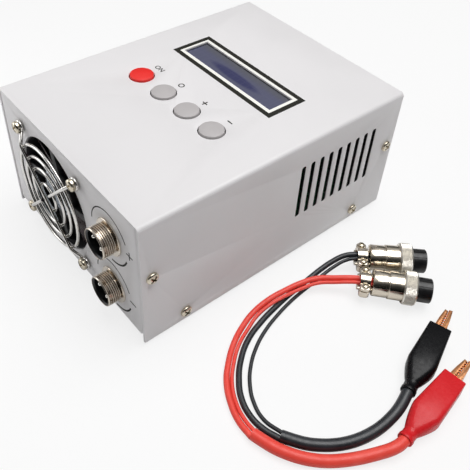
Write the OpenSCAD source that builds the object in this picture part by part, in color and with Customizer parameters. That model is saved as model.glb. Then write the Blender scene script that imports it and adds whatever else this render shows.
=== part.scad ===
// Battery capacity tester: a folded steel case with a cooling fan and two
// round sockets in front, a display and four buttons on top, and two leads
// that lie on the table beside it. Millimetres, Z up, table at z = 0.

/* [Housing] */
// Width of the cover over its two sides
cover_w = 119; // [117:1:124]
// Depth of the cover from front to back
cover_d = 157; // [155:1:165]
// Height of the cover's sides
cover_h = 72; // [71:1:74]
// Thickness of the sheet steel
sheet_t = 1.2; // [1:0.1:1.4]
// Gap between the table and the cover's lower edge
foot_lift = 2.5; // [2:0.5:3]
// Cooling slots in each side of the cover
slot_count = 9; // [4:1:9]

/* [Fan] */
// Side of the square fan frame
fan_size = 60; // [60:1:60]
// Depth of the fan frame
fan_t = 15; // [15:1:16]
// Distance between the fan's fixing screws
fan_pitch = 50; // [49:0.5:51]
// Radius of the air opening in the front panel
fan_hole_r = 29; // [28:0.5:29.5]
// Blades on the rotor
blade_count = 7; // [5:1:9]

/* [Sockets and plugs] */
// Radius of the sockets' outer thread
socket_r = 7.45; // [7.4:0.05:7.5]
// How far the sockets stand out of the front panel
socket_reach = 7.4; // [7:0.1:7.6]
// Distance between the two sockets
socket_pitch = 30.6; // [29:0.2:31]
// Outer radius of the plugs' coupling rings
coupling_r = 8.4; // [8.3:0.1:8.4]

/* [Display and buttons] */
// Width of the cut-out over the display
window_w = 65.4; // [60:0.2:66]
// Depth of the cut-out over the display
window_d = 15; // [14:0.2:15.4]
// Radius of the button caps
key_r = 6.1; // [5.8:0.1:6.2]
// Distance between neighbouring buttons
key_pitch = 18.5; // [17:0.5:19]
// How far a button goes down
key_travel = 0.5; // [0.3:0.1:0.5]

/* [Leads] */
// Radius of the current-carrying wires
power_r = 1.4; // [1.2:0.1:1.4]
// Radius of the thin measuring wires
sense_r = 0.9; // [0.7:0.1:0.9]
// Radius of the sleeve that joins a pair of wires
sleeve_r = 2.6; // [2.4:0.1:2.6]

/* [Hidden] */
$fn = 64;

steel_paint = "gainsboro";
nickel = "silver";
black_plastic = "dimgray";
copper = "peru";
red_pvc = "crimson";
black_pvc = "darkslategray";

// Planes of the case. The origin is under the middle of the tester's own box.
jack_reach = 2;
front_y = socket_reach - (cover_d + socket_reach + jack_reach) / 2;
back_y = front_y + cover_d;
top_z = foot_lift + cover_h;
floor_z = foot_lift + 2.4;
fold_r = 2;
fit_gap = 0.2;
chassis_w = cover_w - 2 * sheet_t - 2 * fit_gap;
chassis_top = top_z - sheet_t - fit_gap;
floor_top = floor_z + sheet_t;
side_flange = 11;
floor_flange = 8;
corner_relief = 15;

// Screws: radius of the shank and of its clearance and tapped holes, and the
// radius and height of the heads
m3_shank = 1.45;
m3_clear = 1.65;
m3_tapped = 1.5;
cover_head = [2.9, 1.9];
fan_head = [3, 2.3];
board_head = [2.7, 1.8];
clamp_head = [1.65, 1.4];
nut_h = 2.4;

// Places of the cover's side screws, from the ends and from the table
upper_screw_y = 5.2;
upper_screw_z = 43.8;
lower_screw_y = 22.5;
lower_screw_z = 8.2;

// Cooling slots
slot_w = 2.4;
slot_len = 31.9;
slot_pitch = 6.1;
slot_start_y = 90.1;
slot_mid_z = 44.5;

// Low voltage socket in the back panel
jack_x = -30;
jack_z = 24;
jack_r = 4;
jack_body_r = 6;
jack_body_len = 12;

// Feet
foot_inset = 14;
foot_r = 6;

// Fan
fan_x = -12.9;
fan_z = 39.6;
duct_r = 28.6;
rotor_r = 27.8;
hub_r = 13;
stator_r = 13.4;
shaft_r = 1.5;
bearing_gap = 0.02;
guard_wire = 0.8;
guard_arm = 0.9;
guard_rings = [26.1, 20.3, 14.5, 6.8];
guard_z = 3;
eyelet_r = 2.5;
post_r = 3.6;
post_bore = 2.15;
fan_corner_r = 5;

// Depths in the fan, measured from the front panel's plane outwards
fan_face = -sheet_t;
fan_back = fan_face - fan_t;
flange_t = 3.2;
stator_front = fan_face - 0.9;
stator_t = 2.4;
strut_t = 2.2;
strut_w = 3.6;
cup_front = stator_front - stator_t - 0.5;
cup_back = fan_back + 0.9;
magnet_bore = hub_r - 1.6;
bearing_r = 2.6;
bearing_back = cup_back + 2.6;

// Blades
blade_stations = 5;
blade_steps = 6;
blade_t = 1.6;
blade_axial = 9.6;
blade_mid = (cup_front + cup_back) / 2;
blade_camber = 2.2;
blade_lean = 9;

// Arms of the finger guard
arm_z = guard_z + guard_wire + guard_arm - 0.1;
bend_at = guard_rings[0] + 0.9;
eyelet_at = fan_pitch / sqrt(2);
eyelet_z = guard_arm + 0.05;
eyelet_top = 2 * eyelet_z;

// Sockets and plugs
socket_x = 36.5;
positive_z = 52.1;
negative_z = positive_z - socket_pitch;
socket_bore = 6.3;
socket_tail = 10;
pin_r = 1;
pin_spread = 3.2;
pin_turn = -27;
flange_r = 9.1;
socket_flange_t = 0.8;
socket_nut_r = 10.4;
insert_r = 6;
insert_tail_r = 5.8;
barrel_r = 6.9;
clamp_barrel_r = 6.5;
clamp_len = 7;
step_at = 14.2;
ring_from = 21.6;
ring_len = 6.2;
plug_len = 35.2;
ring_bore = 7.65;
ring_lip = barrel_r + 0.05;
saddle_bore = 3;
insert_from = 17;
shoulder_at = 28;
ear_y = 5.5;
ear_w = 14.4;
clamp_screw_z = 3.5;

// Display and buttons
display_x = -1.25;
display_y = front_y + 100.2;
key_x = -0.4;
key_y = front_y + 60.8;
key_proud = 1.2;
key_h = 5.2;
key_hole_r = key_r + 0.4;
display_board_top = top_z + key_proud - key_h - 4.3;
board_t = 1.6;
lcd_w = 71.2;
lcd_d = 24.6;
lcd_top = top_z - sheet_t - 0.3;
lcd_roof = 0.8;
glass_t = 2.2;
glass_top = lcd_top - lcd_roof - 0.1;
display_board_w = 92;
display_board_d = 76;
display_board_y = front_y + 84;

// Main board and what stands on it
spacer_h = 6;
main_board_z = floor_top + spacer_h;
main_board_top = main_board_z + board_t;
main_board_w = 106;
main_board_d = 130;
main_board_y = front_y + 85;
sink_w = 56;
sink_d = 66;
sink_h = 44;
sink_y = front_y + 22;
sink_wall = fan_x + sink_w / 2;
fin_count = 10;
transistor_ys = [front_y + 40, front_y + 66];
transistor_z = main_board_top + 8;
capacitor_x = 38;
capacitor_ys = [front_y + 56, front_y + 78, front_y + 100];
shunt_y = front_y + 100;

// Plugs and clips on the table: place of the cable end and direction
plug_z = coupling_r + 0.2;
red_plug_at = [96, 23.5, plug_z];
red_plug_turn = 41;
black_plug_at = [84.5, 34, plug_z];
black_plug_turn = 47;
clip_z = 5.1;
red_clip_at = [162.5, -21, clip_z];
red_clip_turn = 96;
black_clip_at = [149.5, -3, clip_z];
black_clip_turn = 107;
pivot_x = 31;
clip_len = 50;
neck_r = 3.4;
neck_len = 5;
belly_x = 16;
belly_w = 6.6;
mouth_x = 37.5;
mouth_w = 5.6;
boot_half = 4.9;
boot_wall = 0.8;
tooth_count = 9;
tooth_pitch = 1.5;
tooth_depth = 0.8;
jaw_wall = 0.7;
jaw_back = [[clip_len, 1.7], [44, 2.5], [36, 3], [27, 3.4], [16, 5]];
wide_half = 3.5;
narrow_half = 2.5;

// Routes of the wires over the table, from plug to sleeve and on to the clip
red_power_route = [
    [100.9, 29.2, 8.6], [95.3, 24.3, 8.6], [91.8, 20.9, 8.1], [88.2, 17, 7.4], [82, 9.9, 6.3],
    [78.9, 1.9, 5.6], [77.2, -7, 5], [76.1, -16, 4.2], [76.2, -26, 2.2], [78.7, -34.5, 1.5],
    [83.5, -44.1, 1.5], [90, -52.7, 1.5], [96.5, -59, 1.5], [105.3, -64, 1.5], [114, -66.7, 1.6],
    [122.1, -67.2, 2.1]
];
red_sense_route = [
    [102.6, 27.2, 8.6], [97, 22.3, 8.6], [93.6, 19.1, 7.9], [90, 15.4, 7], [84.1, 8.6, 5.7],
    [81.4, 1, 5], [79.8, -7.3, 4.7], [78.7, -16, 4.2], [78.8, -25.8, 2.3], [81, -33.1, 1],
    [85.5, -42.9, 1], [91.8, -51.2, 1], [98, -57.2, 1], [106.3, -61.9, 1], [114.5, -64.2, 1.4],
    [121.3, -64.8, 2.5]
];
black_power_route = [
    [88.8, 40.2, 8.6], [83.7, 34.8, 8.6], [80.8, 30.5, 7.9], [79, 24.5, 6.4], [77.9, 17, 4.2],
    [77.6, 9.5, 2.2], [77.9, 2, 1.5], [78.6, -6, 1.5], [79.9, -15, 1.5], [82.1, -26, 1.5],
    [85.9, -37.5, 1.5], [92, -47.1, 1.5], [98.8, -54, 1.5], [106.5, -59.1, 1.5],
    [115, -61.4, 1.5], [122.6, -61, 1.6], [130.1, -58.7, 2.1]
];
black_sense_route = [
    [90.7, 38.3, 8.6], [85.7, 32.9, 8.6], [83, 28.6, 7.4], [81.4, 22.5, 5.4], [80.6, 15, 3],
    [80.5, 7.5, 1.4], [80.9, 0, 1], [81.9, -8, 1], [83.7, -17, 1], [86.7, -27.5, 1],
    [91, -37, 1], [96.9, -45.5, 1], [103.6, -51.8, 1], [110.9, -56, 1], [119.5, -58, 1.3],
    [128.8, -56.5, 2.5]
];
red_sleeve_route = [
    [121.8, -66.2, 2.7], [131.6, -63.1, 2.7], [140.9, -57.8, 2.7], [148.6, -50.5, 2.7],
    [154.9, -41, 2.8], [159.8, -31.5, 3.7], [162, -26.5, 4.7], [162.6, -22, 5.1], [161.8, -14.4, 5.1]
];
black_sleeve_route = [
    [129.5, -57.9, 2.7], [138.3, -52, 2.7], [145.6, -43.6, 2.7], [150.2, -34, 2.7],
    [152.4, -23, 3.1], [152, -12, 4.2], [149.7, -3.5, 5.1], [147.6, 3.3, 5.1]
];

// Wires inside the case
positive_inner_route = [
    [39.4, front_y + 15.6, 50.6], [39.6, front_y + 19, 50], [43, front_y + 26, 42],
    [46, front_y + 29, 28], [46, front_y + 29, 18], [46, front_y + 29, main_board_top + 0.1]
];
positive_sense_route = [
    [33.6, front_y + 15.6, 53.6], [33.6, front_y + 19, 53], [34, front_y + 27, 42],
    [36, front_y + 36, 28], [36, front_y + 37, 18], [36, front_y + 37, main_board_top + 0.1]
];
negative_inner_route = [
    [39.4, front_y + 15.6, 20], [39.4, front_y + 19, 19.8], [39, front_y + 23, 17.4],
    [38.6, front_y + 24, main_board_top + 0.1]
];
negative_sense_route = [
    [33.6, front_y + 15.6, 23], [33.4, front_y + 20, 22.6], [31, front_y + 25, 19],
    [30, front_y + 26, main_board_top + 0.1]
];
fan_wire_route = [
    [12.6, front_y + 14.9, 10.2],
    [12.6, front_y + 17.2, 10.2],
    [14.2, front_y + 18.2, 10.3],
    [17, front_y + 18.5, 11.4],
    [19.4, front_y + 18.5, 14],
    [21, front_y + 19.4, 16.4],
    [22.3, front_y + 22, 17.2],
    [23, front_y + 25, 16.4]
];

// Vectors and sweeps

function unit(v) = v / norm(v);
function tangent(p, i) = unit(p[min(i + 1, len(p) - 1)] - p[max(i - 1, 0)]);
function first_side(t) = unit(cross(t, abs(t.z) < 0.8 ? [0, 0, 1] : [1, 0, 0]));
function sides(p, i = 0, last = undef) = i == len(p) ? [] :
    let (t = tangent(p, i))
    let (s = i == 0 ? first_side(t) : unit(last - (last * t) * t))
    concat([s], sides(p, i + 1, s));
function ring_points(c, s, t, r, n) = [
    for (k = [0 : n - 1]) c + r * (cos(360 * k / n) * s + sin(360 * k / n) * cross(t, s))
];

// A closed skin over loops of n points each
module loft(loops, n) {
    rings = len(loops);
    wall = [
        for (i = [0 : rings - 2]) for (k = [0 : n - 1])
            let (a = i * n + k, b = i * n + (k + 1) % n)
            each [[a, a + n, b + n], [a, b + n, b]]
    ];
    caps = [
        for (i = [0 : n / 2 - 2])
            let (j = n - 2 - i, end = (rings - 1) * n)
            each [[i, i + 1, j], [i, j, j + 1],
                  [end + i, end + j, end + i + 1], [end + i, end + j + 1, end + j]]
    ];
    polyhedron([for (loop = loops) each loop], concat(wall, caps), convexity = 4);
}

// A round tube swept along the points of a route
module tube(route, r, n = 8) {
    side = sides(route);
    loft([for (i = [0 : len(route) - 1]) ring_points(route[i], side[i], tangent(route, i), r, n)], n);
}

// Places: on the front panel with +Z outwards, on a side of the cover with +Z
// outwards, and along a plug with +Z towards its contacts

module at_front(x, z) {
    translate([x, front_y, z])
        rotate([90, 0, 0])
            children();
}

module at_side(side, y, z) {
    translate([side * cover_w / 2, y, z])
        rotate([0, side * 90, 0])
            children();
}

module at_plug(place, turn) {
    translate(place)
        rotate([0, 0, turn])
            rotate([0, 90, 0])
                children();
}

module at_clip(place, turn) {
    translate(place)
        rotate([0, 0, turn])
            children();
}

module both_sockets() {
    for (z = [positive_z, negative_z])
        at_front(socket_x, z)
            children();
}

module both_plugs() {
    at_plug(red_plug_at, red_plug_turn)
        children();
    at_plug(black_plug_at, black_plug_turn)
        children();
}

module both_clips() {
    at_clip(red_clip_at, red_clip_turn)
        children();
    at_clip(black_clip_at, black_clip_turn)
        children();
}

module fan_corners() {
    for (x = [-1, 1])
        for (y = [-1, 1])
            translate([x * fan_pitch / 2, y * fan_pitch / 2, 0])
                children();
}

// Small shapes that several parts share

module rounded_rect(w, h, r) {
    square([w - 2 * r, h], center = true);
    square([w, h - 2 * r], center = true);
    for (x = [-1, 1])
        for (y = [-1, 1])
            translate([x * (w / 2 - r), y * (h / 2 - r)])
                circle(r);
}

// An upright block whose two upper corners are round, standing on y = 0
module arch(w, h, r) {
    translate([-w / 2, 0])
        square([w, h - r]);
    translate([-w / 2 + r, 0])
        square([w - 2 * r, h]);
    for (x = [-1, 1])
        translate([x * (w / 2 - r), h - r])
            circle(r);
}

// Section of a folded channel, open below
module channel(w, h) {
    difference() {
        arch(w, h, fold_r);
        translate([0, -1])
            arch(w - 2 * sheet_t, h - sheet_t + 1, fold_r - sheet_t);
    }
}

module disc_ring(outer, inner, h) {
    difference() {
        cylinder(r = outer, h = h);
        translate([0, 0, -1])
            cylinder(r = inner, h = h + 2);
    }
}

// A pan head screw: the head stands on z = 0, the shank goes down
module pan_screw(head, shank, length) {
    head_r = head[0];
    head_h = head[1];
    dome_r = (head_r * head_r + head_h * head_h) / (2 * head_h) * 1.15;
    recess_w = head_r * 0.28;
    recess_l = head_r * 1.2;
    difference() {
        intersection() {
            cylinder(r = head_r, h = head_h);
            translate([0, 0, head_h - dome_r])
                sphere(dome_r);
        }
        for (turn = [0, 90])
            rotate([0, 0, turn])
                translate([-recess_l / 2, -recess_w / 2, head_h * 0.45])
                    cube([recess_l, recess_w, head_h]);
    }
    translate([0, 0, -length])
        cylinder(r = shank, h = length);
}

// Case

module front_panel_holes() {
    at_front(fan_x, fan_z) {
        translate([0, 0, -3])
            cylinder(r = fan_hole_r, h = 6, $fn = 96);
        fan_corners()
            translate([0, 0, -3])
                cylinder(r = m3_clear, h = 6);
    }
    both_sockets()
        translate([0, 0, -3])
            cylinder(r = socket_r + 0.1, h = 6);
}

module back_panel_holes() {
    translate([jack_x, back_y + 3, jack_z])
        rotate([90, 0, 0])
            cylinder(r = jack_r + 0.1, h = 6);
}

module side_screw_places() {
    for (side = [-1, 1]) {
        for (y = [front_y + upper_screw_y, back_y - upper_screw_y])
            at_side(side, y, upper_screw_z)
                children();
        for (y = [front_y + lower_screw_y, back_y - lower_screw_y])
            at_side(side, y, lower_screw_z)
                children();
    }
}

// Front or back panel with its two side flanges, folded from one sheet
module end_panel() {
    rise = floor_z + fold_r;
    translate([0, 0, rise])
        linear_extrude(chassis_top - rise)
            rotate([0, 0, 180])
                translate([0, -side_flange])
                    channel(chassis_w, side_flange);
}

module chassis() {
    color(steel_paint)
        difference() {
            union() {
                // Floor with both end panels folded up from it
                translate([-chassis_w / 2 + fold_r, 0, 0])
                    rotate([90, 0, 90])
                        linear_extrude(chassis_w - 2 * fold_r)
                            translate([(front_y + back_y) / 2, chassis_top])
                                mirror([0, 1])
                                    channel(cover_d, chassis_top - floor_z);
                translate([0, front_y, 0])
                    end_panel();
                translate([0, back_y, 0])
                    rotate([0, 0, 180])
                        end_panel();
                // Floor with its low side flanges
                translate([0, back_y - corner_relief, floor_z + floor_flange])
                    rotate([90, 0, 0])
                        linear_extrude(cover_d - 2 * corner_relief)
                            mirror([0, 1])
                                channel(chassis_w, floor_flange);
            }
            front_panel_holes();
            back_panel_holes();
            side_screw_places()
                translate([0, 0, -8])
                    cylinder(r = m3_tapped, h = 8);
        }
}

module slot_cutter() {
    cube([slot_len - slot_w, slot_w, 6], center = true);
    for (end = [-1, 1])
        translate([end * (slot_len - slot_w) / 2, 0, -3])
            cylinder(r = slot_w / 2, h = 6, $fn = 24);
}

module key_places() {
    for (i = [0 : 3])
        translate([key_x + (i - 1.5) * key_pitch, key_y, 0])
            children();
}

module cover() {
    color(steel_paint)
        difference() {
            translate([0, back_y, foot_lift])
                rotate([90, 0, 0])
                    linear_extrude(cover_d)
                        channel(cover_w, cover_h);
            for (side = [-1, 1])
                for (i = [0 : slot_count - 1])
                    at_side(side, front_y + slot_start_y + i * slot_pitch, slot_mid_z)
                        slot_cutter();
            side_screw_places()
                translate([0, 0, -3])
                    cylinder(r = m3_clear, h = 6);
            translate([display_x, display_y, top_z - sheet_t / 2])
                cube([window_w, window_d, 3 * sheet_t], center = true);
            key_places()
                translate([0, 0, top_z - 3])
                    cylinder(r = key_hole_r, h = 6);
        }
}

module cover_screws() {
    color(nickel)
        side_screw_places()
            pan_screw(cover_head, m3_shank, 6);
}

module feet() {
    color(black_plastic)
        for (x = [-1, 1])
            for (y = [front_y + foot_inset, back_y - foot_inset])
                translate([x * (cover_w / 2 - foot_inset), y, 0])
                    difference() {
                        union() {
                            cylinder(r1 = foot_r - 0.8, r2 = foot_r, h = 2);
                            translate([0, 0, 2])
                                cylinder(r = foot_r, h = floor_z - 2);
                        }
                        translate([0, 0, -0.01])
                            cylinder(r = 2, h = 1.2);
                    }
}

// Fan. Local +Z looks out through the front panel, and the frame's face
// touches the panel from behind.

module fan_duct_cut() {
    translate([0, 0, fan_back - 1])
        cylinder(r = duct_r, h = fan_t + 2, $fn = 96);
}

module fan_frame() {
    color(black_plastic)
        at_front(fan_x, fan_z) {
            difference() {
                union() {
                    for (z = [fan_face - flange_t, fan_back])
                        translate([0, 0, z])
                            linear_extrude(flange_t)
                                rounded_rect(fan_size, fan_size, fan_corner_r);
                    translate([0, 0, fan_back])
                        cylinder(r = duct_r + 1.3, h = fan_t, $fn = 96);
                    for (turn = [0 : 90 : 270])
                        rotate([0, 0, turn])
                            translate([fan_pitch / 2, fan_pitch / 2, fan_back])
                                cylinder(r = post_r, h = fan_t);
                }
                fan_duct_cut();
                fan_corners()
                    translate([0, 0, fan_back - 1])
                        cylinder(r = post_bore, h = fan_t + 2);
                // Notch for the two wires
                translate([fan_size / 2 - 6, -fan_size / 2 - 1, fan_back - 1])
                    cube([3, 4, 3]);
            }
            fan_spider();
        }
}

// Motor plate held by four swept struts, with the bearing tube on its back
module fan_spider() {
    difference() {
        union() {
            translate([0, 0, stator_front - stator_t])
                cylinder(r = stator_r, h = stator_t);
            for (turn = [15 : 90 : 285])
                rotate([0, 0, turn])
                    translate([8, -strut_w / 2 - 5, stator_front - strut_t])
                        cube([duct_r - 7.6, strut_w, strut_t]);
            translate([0, 0, bearing_back])
                cylinder(r = bearing_r + 1, h = stator_front - bearing_back);
        }
        translate([0, 0, cup_back])
            cylinder(r = bearing_r, h = stator_front - 1 - cup_back);
    }
}

module fan_bearing() {
    color("goldenrod")
        at_front(fan_x, fan_z)
            translate([0, 0, bearing_back])
                disc_ring(bearing_r, shaft_r + bearing_gap, stator_front - 1.8 - bearing_back);
}

module fan_shaft() {
    color(nickel)
        at_front(fan_x, fan_z)
            translate([0, 0, cup_back + 0.6])
                cylinder(r = shaft_r, h = stator_front - 2.2 - cup_back - 0.6);
}

// A blade is a thin cambered plate on five cylinders round the axis. Its
// stagger angle falls from the hub to the tip, and its tip leans forward.
function blade_stagger(f) = 41 + 22 * f;
function blade_point(f, g, half) =
    let (r = hub_r - 0.6 + (rotor_r - hub_r + 0.6) * f)
    let (axial = blade_axial * (0.5 - g))
    let (camber = blade_camber * sin(180 * g))
    let (along = camber + half - axial * tan(blade_stagger(f)))
    let (turn = (along / r) * 180 / PI + blade_lean * f)
    [r * cos(turn), r * sin(turn), blade_mid + axial];
function blade_loop(f) = concat(
    [for (i = [0 : blade_steps]) blade_point(f, i / blade_steps, -blade_t / 2)],
    [for (i = [blade_steps : -1 : 0]) blade_point(f, i / blade_steps, blade_t / 2)]
);

module fan_blade() {
    loft([for (s = [0 : blade_stations - 1]) blade_loop(s / (blade_stations - 1))], 2 * blade_steps + 2);
}

module fan_rotor() {
    color(black_plastic)
        at_front(fan_x, fan_z) {
            difference() {
                translate([0, 0, cup_back])
                    cylinder(r = hub_r, h = cup_front - cup_back);
                translate([0, 0, cup_back + 1.6])
                    cylinder(r = magnet_bore, h = cup_front - cup_back);
                translate([0, 0, cup_back + 0.6])
                    cylinder(r = shaft_r, h = fan_t);
            }
            for (i = [0 : blade_count - 1])
                rotate([0, 0, i * 360 / blade_count])
                    fan_blade();
        }
}

// Wire finger guard: four rings, and arms on top of them that step down to
// an eyelet round each screw

module torus(ring_r, wire_r, angle = 360) {
    rotate_extrude(angle = angle, $fn = 96)
        translate([ring_r, 0])
            circle(wire_r, $fn = 24);
}

module rod(a, b, r) {
    v = b - a;
    tilt = acos(v.z / norm(v));
    swing = atan2(v.y, v.x);
    translate(a)
        rotate([0, tilt, swing])
            cylinder(r = r, h = norm(v), $fn = 24);
}

module guard_foot() {
    bend = [bend_at, 0, arm_z];
    foot = [eyelet_at - eyelet_r, 0, eyelet_z];
    rod(bend, foot, guard_arm - 0.02);
    for (end = [bend, foot])
        translate(end)
            sphere(guard_arm + 0.03, $fn = 24);
    translate([eyelet_at, 0, eyelet_z])
        torus(eyelet_r, guard_arm);
}

module fan_guard() {
    color(nickel)
        at_front(fan_x, fan_z) {
            for (r = guard_rings)
                translate([0, 0, guard_z])
                    torus(r, guard_wire);
            rotate([0, 0, 135])
                rod([-bend_at, 0, arm_z], [bend_at, 0, arm_z], guard_arm);
            for (turn = [45, 225])
                rotate([0, 0, turn])
                    rod([guard_rings[3] - guard_wire, 0, arm_z], [bend_at, 0, arm_z], guard_arm);
            for (turn = [45 : 90 : 315])
                rotate([0, 0, turn])
                    guard_foot();
        }
}

module fan_screws() {
    color(nickel)
        at_front(fan_x, fan_z)
            fan_corners()
                translate([0, 0, eyelet_top])
                    pan_screw(fan_head, m3_shank, eyelet_top + sheet_t + fan_t + 3.2);
}

module fan_nuts() {
    color(nickel)
        at_front(fan_x, fan_z)
            fan_corners()
                translate([0, 0, fan_back - nut_h])
                    difference() {
                        cylinder(r = 3.15, h = nut_h, $fn = 6);
                        translate([0, 0, -1])
                            cylinder(r = m3_shank + 0.02, h = nut_h + 2);
                    }
}

// Sockets: threaded shell with a flange in front of the panel, black insert,
// two pins and a nut behind the panel

module socket_shell() {
    difference() {
        union() {
            translate([0, 0, -socket_tail])
                cylinder(r = socket_r, h = socket_tail + socket_reach);
            cylinder(r = flange_r, h = socket_flange_t);
        }
        translate([0, 0, -socket_tail - 1])
            cylinder(r = socket_bore, h = socket_tail + socket_reach + 2);
    }
    // Key that guides the plug
    rotate([0, 0, 90 + pin_turn])
        translate([socket_bore - 0.7, -0.7, 0.2])
            cube([1, 1.4, socket_reach - 1.6]);
}

module positive_socket() {
    color(nickel)
        at_front(socket_x, positive_z)
            socket_shell();
}

module negative_socket() {
    color(nickel)
        at_front(socket_x, negative_z)
            socket_shell();
}

module pin_places(spread) {
    rotate([0, 0, pin_turn])
        for (side = [-1, 1])
            translate([side * spread, 0, 0])
                children();
}

module socket_inserts() {
    color(black_plastic)
        both_sockets()
            difference() {
                translate([0, 0, -12])
                    cylinder(r = socket_bore, h = 12);
                pin_places(pin_spread)
                    translate([0, 0, -13])
                        cylinder(r = pin_r, h = 14);
            }
}

module socket_pins() {
    color(nickel)
        both_sockets()
            pin_places(pin_spread) {
                translate([0, 0, -15.4])
                    cylinder(r = pin_r, h = 15.4 + socket_reach - 2);
                translate([0, 0, socket_reach - 2])
                    sphere(pin_r, $fn = 32);
            }
}

module socket_nuts() {
    color(nickel)
        both_sockets()
            translate([0, 0, -sheet_t - nut_h])
                difference() {
                    cylinder(r = socket_nut_r, h = nut_h, $fn = 6);
                    translate([0, 0, -1])
                        cylinder(r = socket_r + 0.05, h = nut_h + 2);
                }
}

// Display and buttons

module lcd_frame() {
    h = lcd_top - display_board_top;
    color("black")
        translate([display_x, display_y, display_board_top])
            difference() {
                linear_extrude(h)
                    rounded_rect(lcd_w, lcd_d, 0.8);
                translate([-lcd_w / 2 + 0.6, -lcd_d / 2 + 0.6, -1])
                    cube([lcd_w - 1.2, lcd_d - 1.2, h + 1 - lcd_roof]);
                translate([-window_w / 2, -window_d / 2, 0])
                    cube([window_w, window_d, h + 1]);
            }
}

module lcd_glass() {
    color("midnightblue")
        translate([display_x - lcd_w / 2 + 0.8, display_y - lcd_d / 2 + 0.8, glass_top - glass_t])
            cube([lcd_w - 1.6, lcd_d - 1.6, glass_t]);
}

module lcd_backlight() {
    h = glass_top - glass_t - display_board_top;
    color("white")
        translate([display_x - lcd_w / 2 + 0.8, display_y - lcd_d / 2 + 0.8, display_board_top])
            cube([lcd_w - 1.6, lcd_d - 1.6, h]);
}

module display_corners() {
    for (x = [-1, 1])
        for (y = [-1, 1])
            translate([display_x + x * (display_board_w / 2 - 4), display_board_y + y * (display_board_d / 2 - 4), 0])
                children();
}

module display_board() {
    color("darkgreen")
        difference() {
            translate([display_x, display_board_y, display_board_top - board_t])
                linear_extrude(board_t)
                    rounded_rect(display_board_w, display_board_d, 2);
            display_corners()
                translate([0, 0, display_board_top - board_t - 1])
                    cylinder(r = m3_clear, h = board_t + 2);
        }
}

module display_studs() {
    h = top_z - sheet_t - display_board_top;
    color(nickel)
        display_corners()
            translate([0, 0, display_board_top])
                difference() {
                    cylinder(r = 2.8, h = h);
                    translate([0, 0, -1])
                        cylinder(r = m3_tapped, h = h - 0.5);
                }
}

module key_switches() {
    body_h = 3.5;
    color(black_plastic)
        key_places()
            translate([0, 0, display_board_top])
                difference() {
                    linear_extrude(body_h)
                        rounded_rect(12, 12, 0.8);
                    translate([0, 0, 1])
                        cylinder(r = 2.2, h = body_h);
                }
}

// Domed cap with a hollow underside and the stem that works the switch
module button_cap() {
    bottom = top_z + key_proud - key_h;
    wall = 1.1;
    dome_r = 26;
    translate([0, 0, bottom]) {
        difference() {
            intersection() {
                cylinder(r = key_r, h = key_h);
                translate([0, 0, key_h - dome_r])
                    sphere(dome_r, $fn = 96);
            }
            translate([0, 0, -1])
                difference() {
                    cylinder(r = key_r - wall, h = key_h - wall);
                    cylinder(r = 2.4, h = key_h);
                }
        }
        translate([0, 0, -2.2])
            cylinder(r = 1.8, h = 4);
    }
}

module button_at(i) {
    translate([key_x + (i - 1.5) * key_pitch, key_y, 0])
        button_cap();
}

module button_on() {
    color("red")
        button_at(0);
}

module button_set() {
    color("lightgray")
        button_at(1);
}

module button_increase() {
    color("lightgray")
        button_at(2);
}

module button_decrease() {
    color("lightgray")
        button_at(3);
}

// Main board and what stands on it

module main_board_corners() {
    for (x = [-1, 1])
        for (y = [-1, 1])
            translate([x * (main_board_w / 2 - 5), main_board_y + y * (main_board_d / 2 - 5), 0])
                children();
}

module main_board() {
    color("darkgreen")
        difference() {
            translate([0, main_board_y, main_board_z])
                linear_extrude(board_t)
                    rounded_rect(main_board_w, main_board_d, 2);
            main_board_corners()
                translate([0, 0, main_board_z - 1])
                    cylinder(r = m3_clear, h = board_t + 2);
        }
}

module board_spacers() {
    color(nickel)
        main_board_corners()
            translate([0, 0, floor_top])
                difference() {
                    cylinder(r = 2.8, h = spacer_h);
                    translate([0, 0, 1])
                        cylinder(r = m3_tapped, h = spacer_h);
                }
}

module board_screws() {
    color(nickel) {
        main_board_corners()
            translate([0, 0, main_board_top])
                pan_screw(board_head, m3_shank, board_t + 4);
        display_corners()
            translate([0, 0, display_board_top - board_t])
                rotate([180, 0, 0])
                    pan_screw(board_head, m3_shank, board_t + 4);
        for (y = transistor_ys)
            translate([sink_wall + 5, y, transistor_z + 15])
                rotate([0, 90, 0])
                    pan_screw(board_head, m3_shank, 5 + 3.4);
    }
}

// Comb of thin fins between a base and a thick wall for the transistors
module heatsink() {
    base_t = 4;
    wall_t = 4;
    fin_t = 1.5;
    pitch = (sink_w - wall_t - fin_t) / fin_count;
    color(nickel)
        difference() {
            translate([fan_x - sink_w / 2, sink_y, main_board_top]) {
                cube([sink_w, sink_d, base_t]);
                for (i = [0 : fin_count - 1])
                    translate([i * pitch, 0, 0])
                        cube([fin_t, sink_d, sink_h]);
                translate([sink_w - wall_t, 0, 0])
                    cube([wall_t, sink_d, sink_h]);
            }
            for (y = transistor_ys)
                translate([sink_wall - wall_t - 1, y, transistor_z + 15])
                    rotate([0, 90, 0])
                        cylinder(r = m3_tapped, h = wall_t + 2);
        }
}

module transistors() {
    color("black")
        for (y = transistor_ys)
            translate([sink_wall, y, transistor_z]) {
                difference() {
                    translate([0, -8, 0])
                        cube([5, 16, 21]);
                    translate([-1, 0, 15])
                        rotate([0, 90, 0])
                            cylinder(r = m3_clear, h = 7);
                }
                for (lead = [-1, 0, 1])
                    translate([2.2, lead * 5.4 - 0.6, main_board_top - transistor_z])
                        cube([0.6, 1.2, transistor_z - main_board_top]);
            }
}

module capacitors() {
    color("midnightblue")
        for (y = capacitor_ys)
            translate([capacitor_x, y, main_board_top])
                difference() {
                    cylinder(r = 8, h = 25);
                    translate([0, 0, 6])
                        torus(8.3, 0.6);
                }
}

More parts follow.
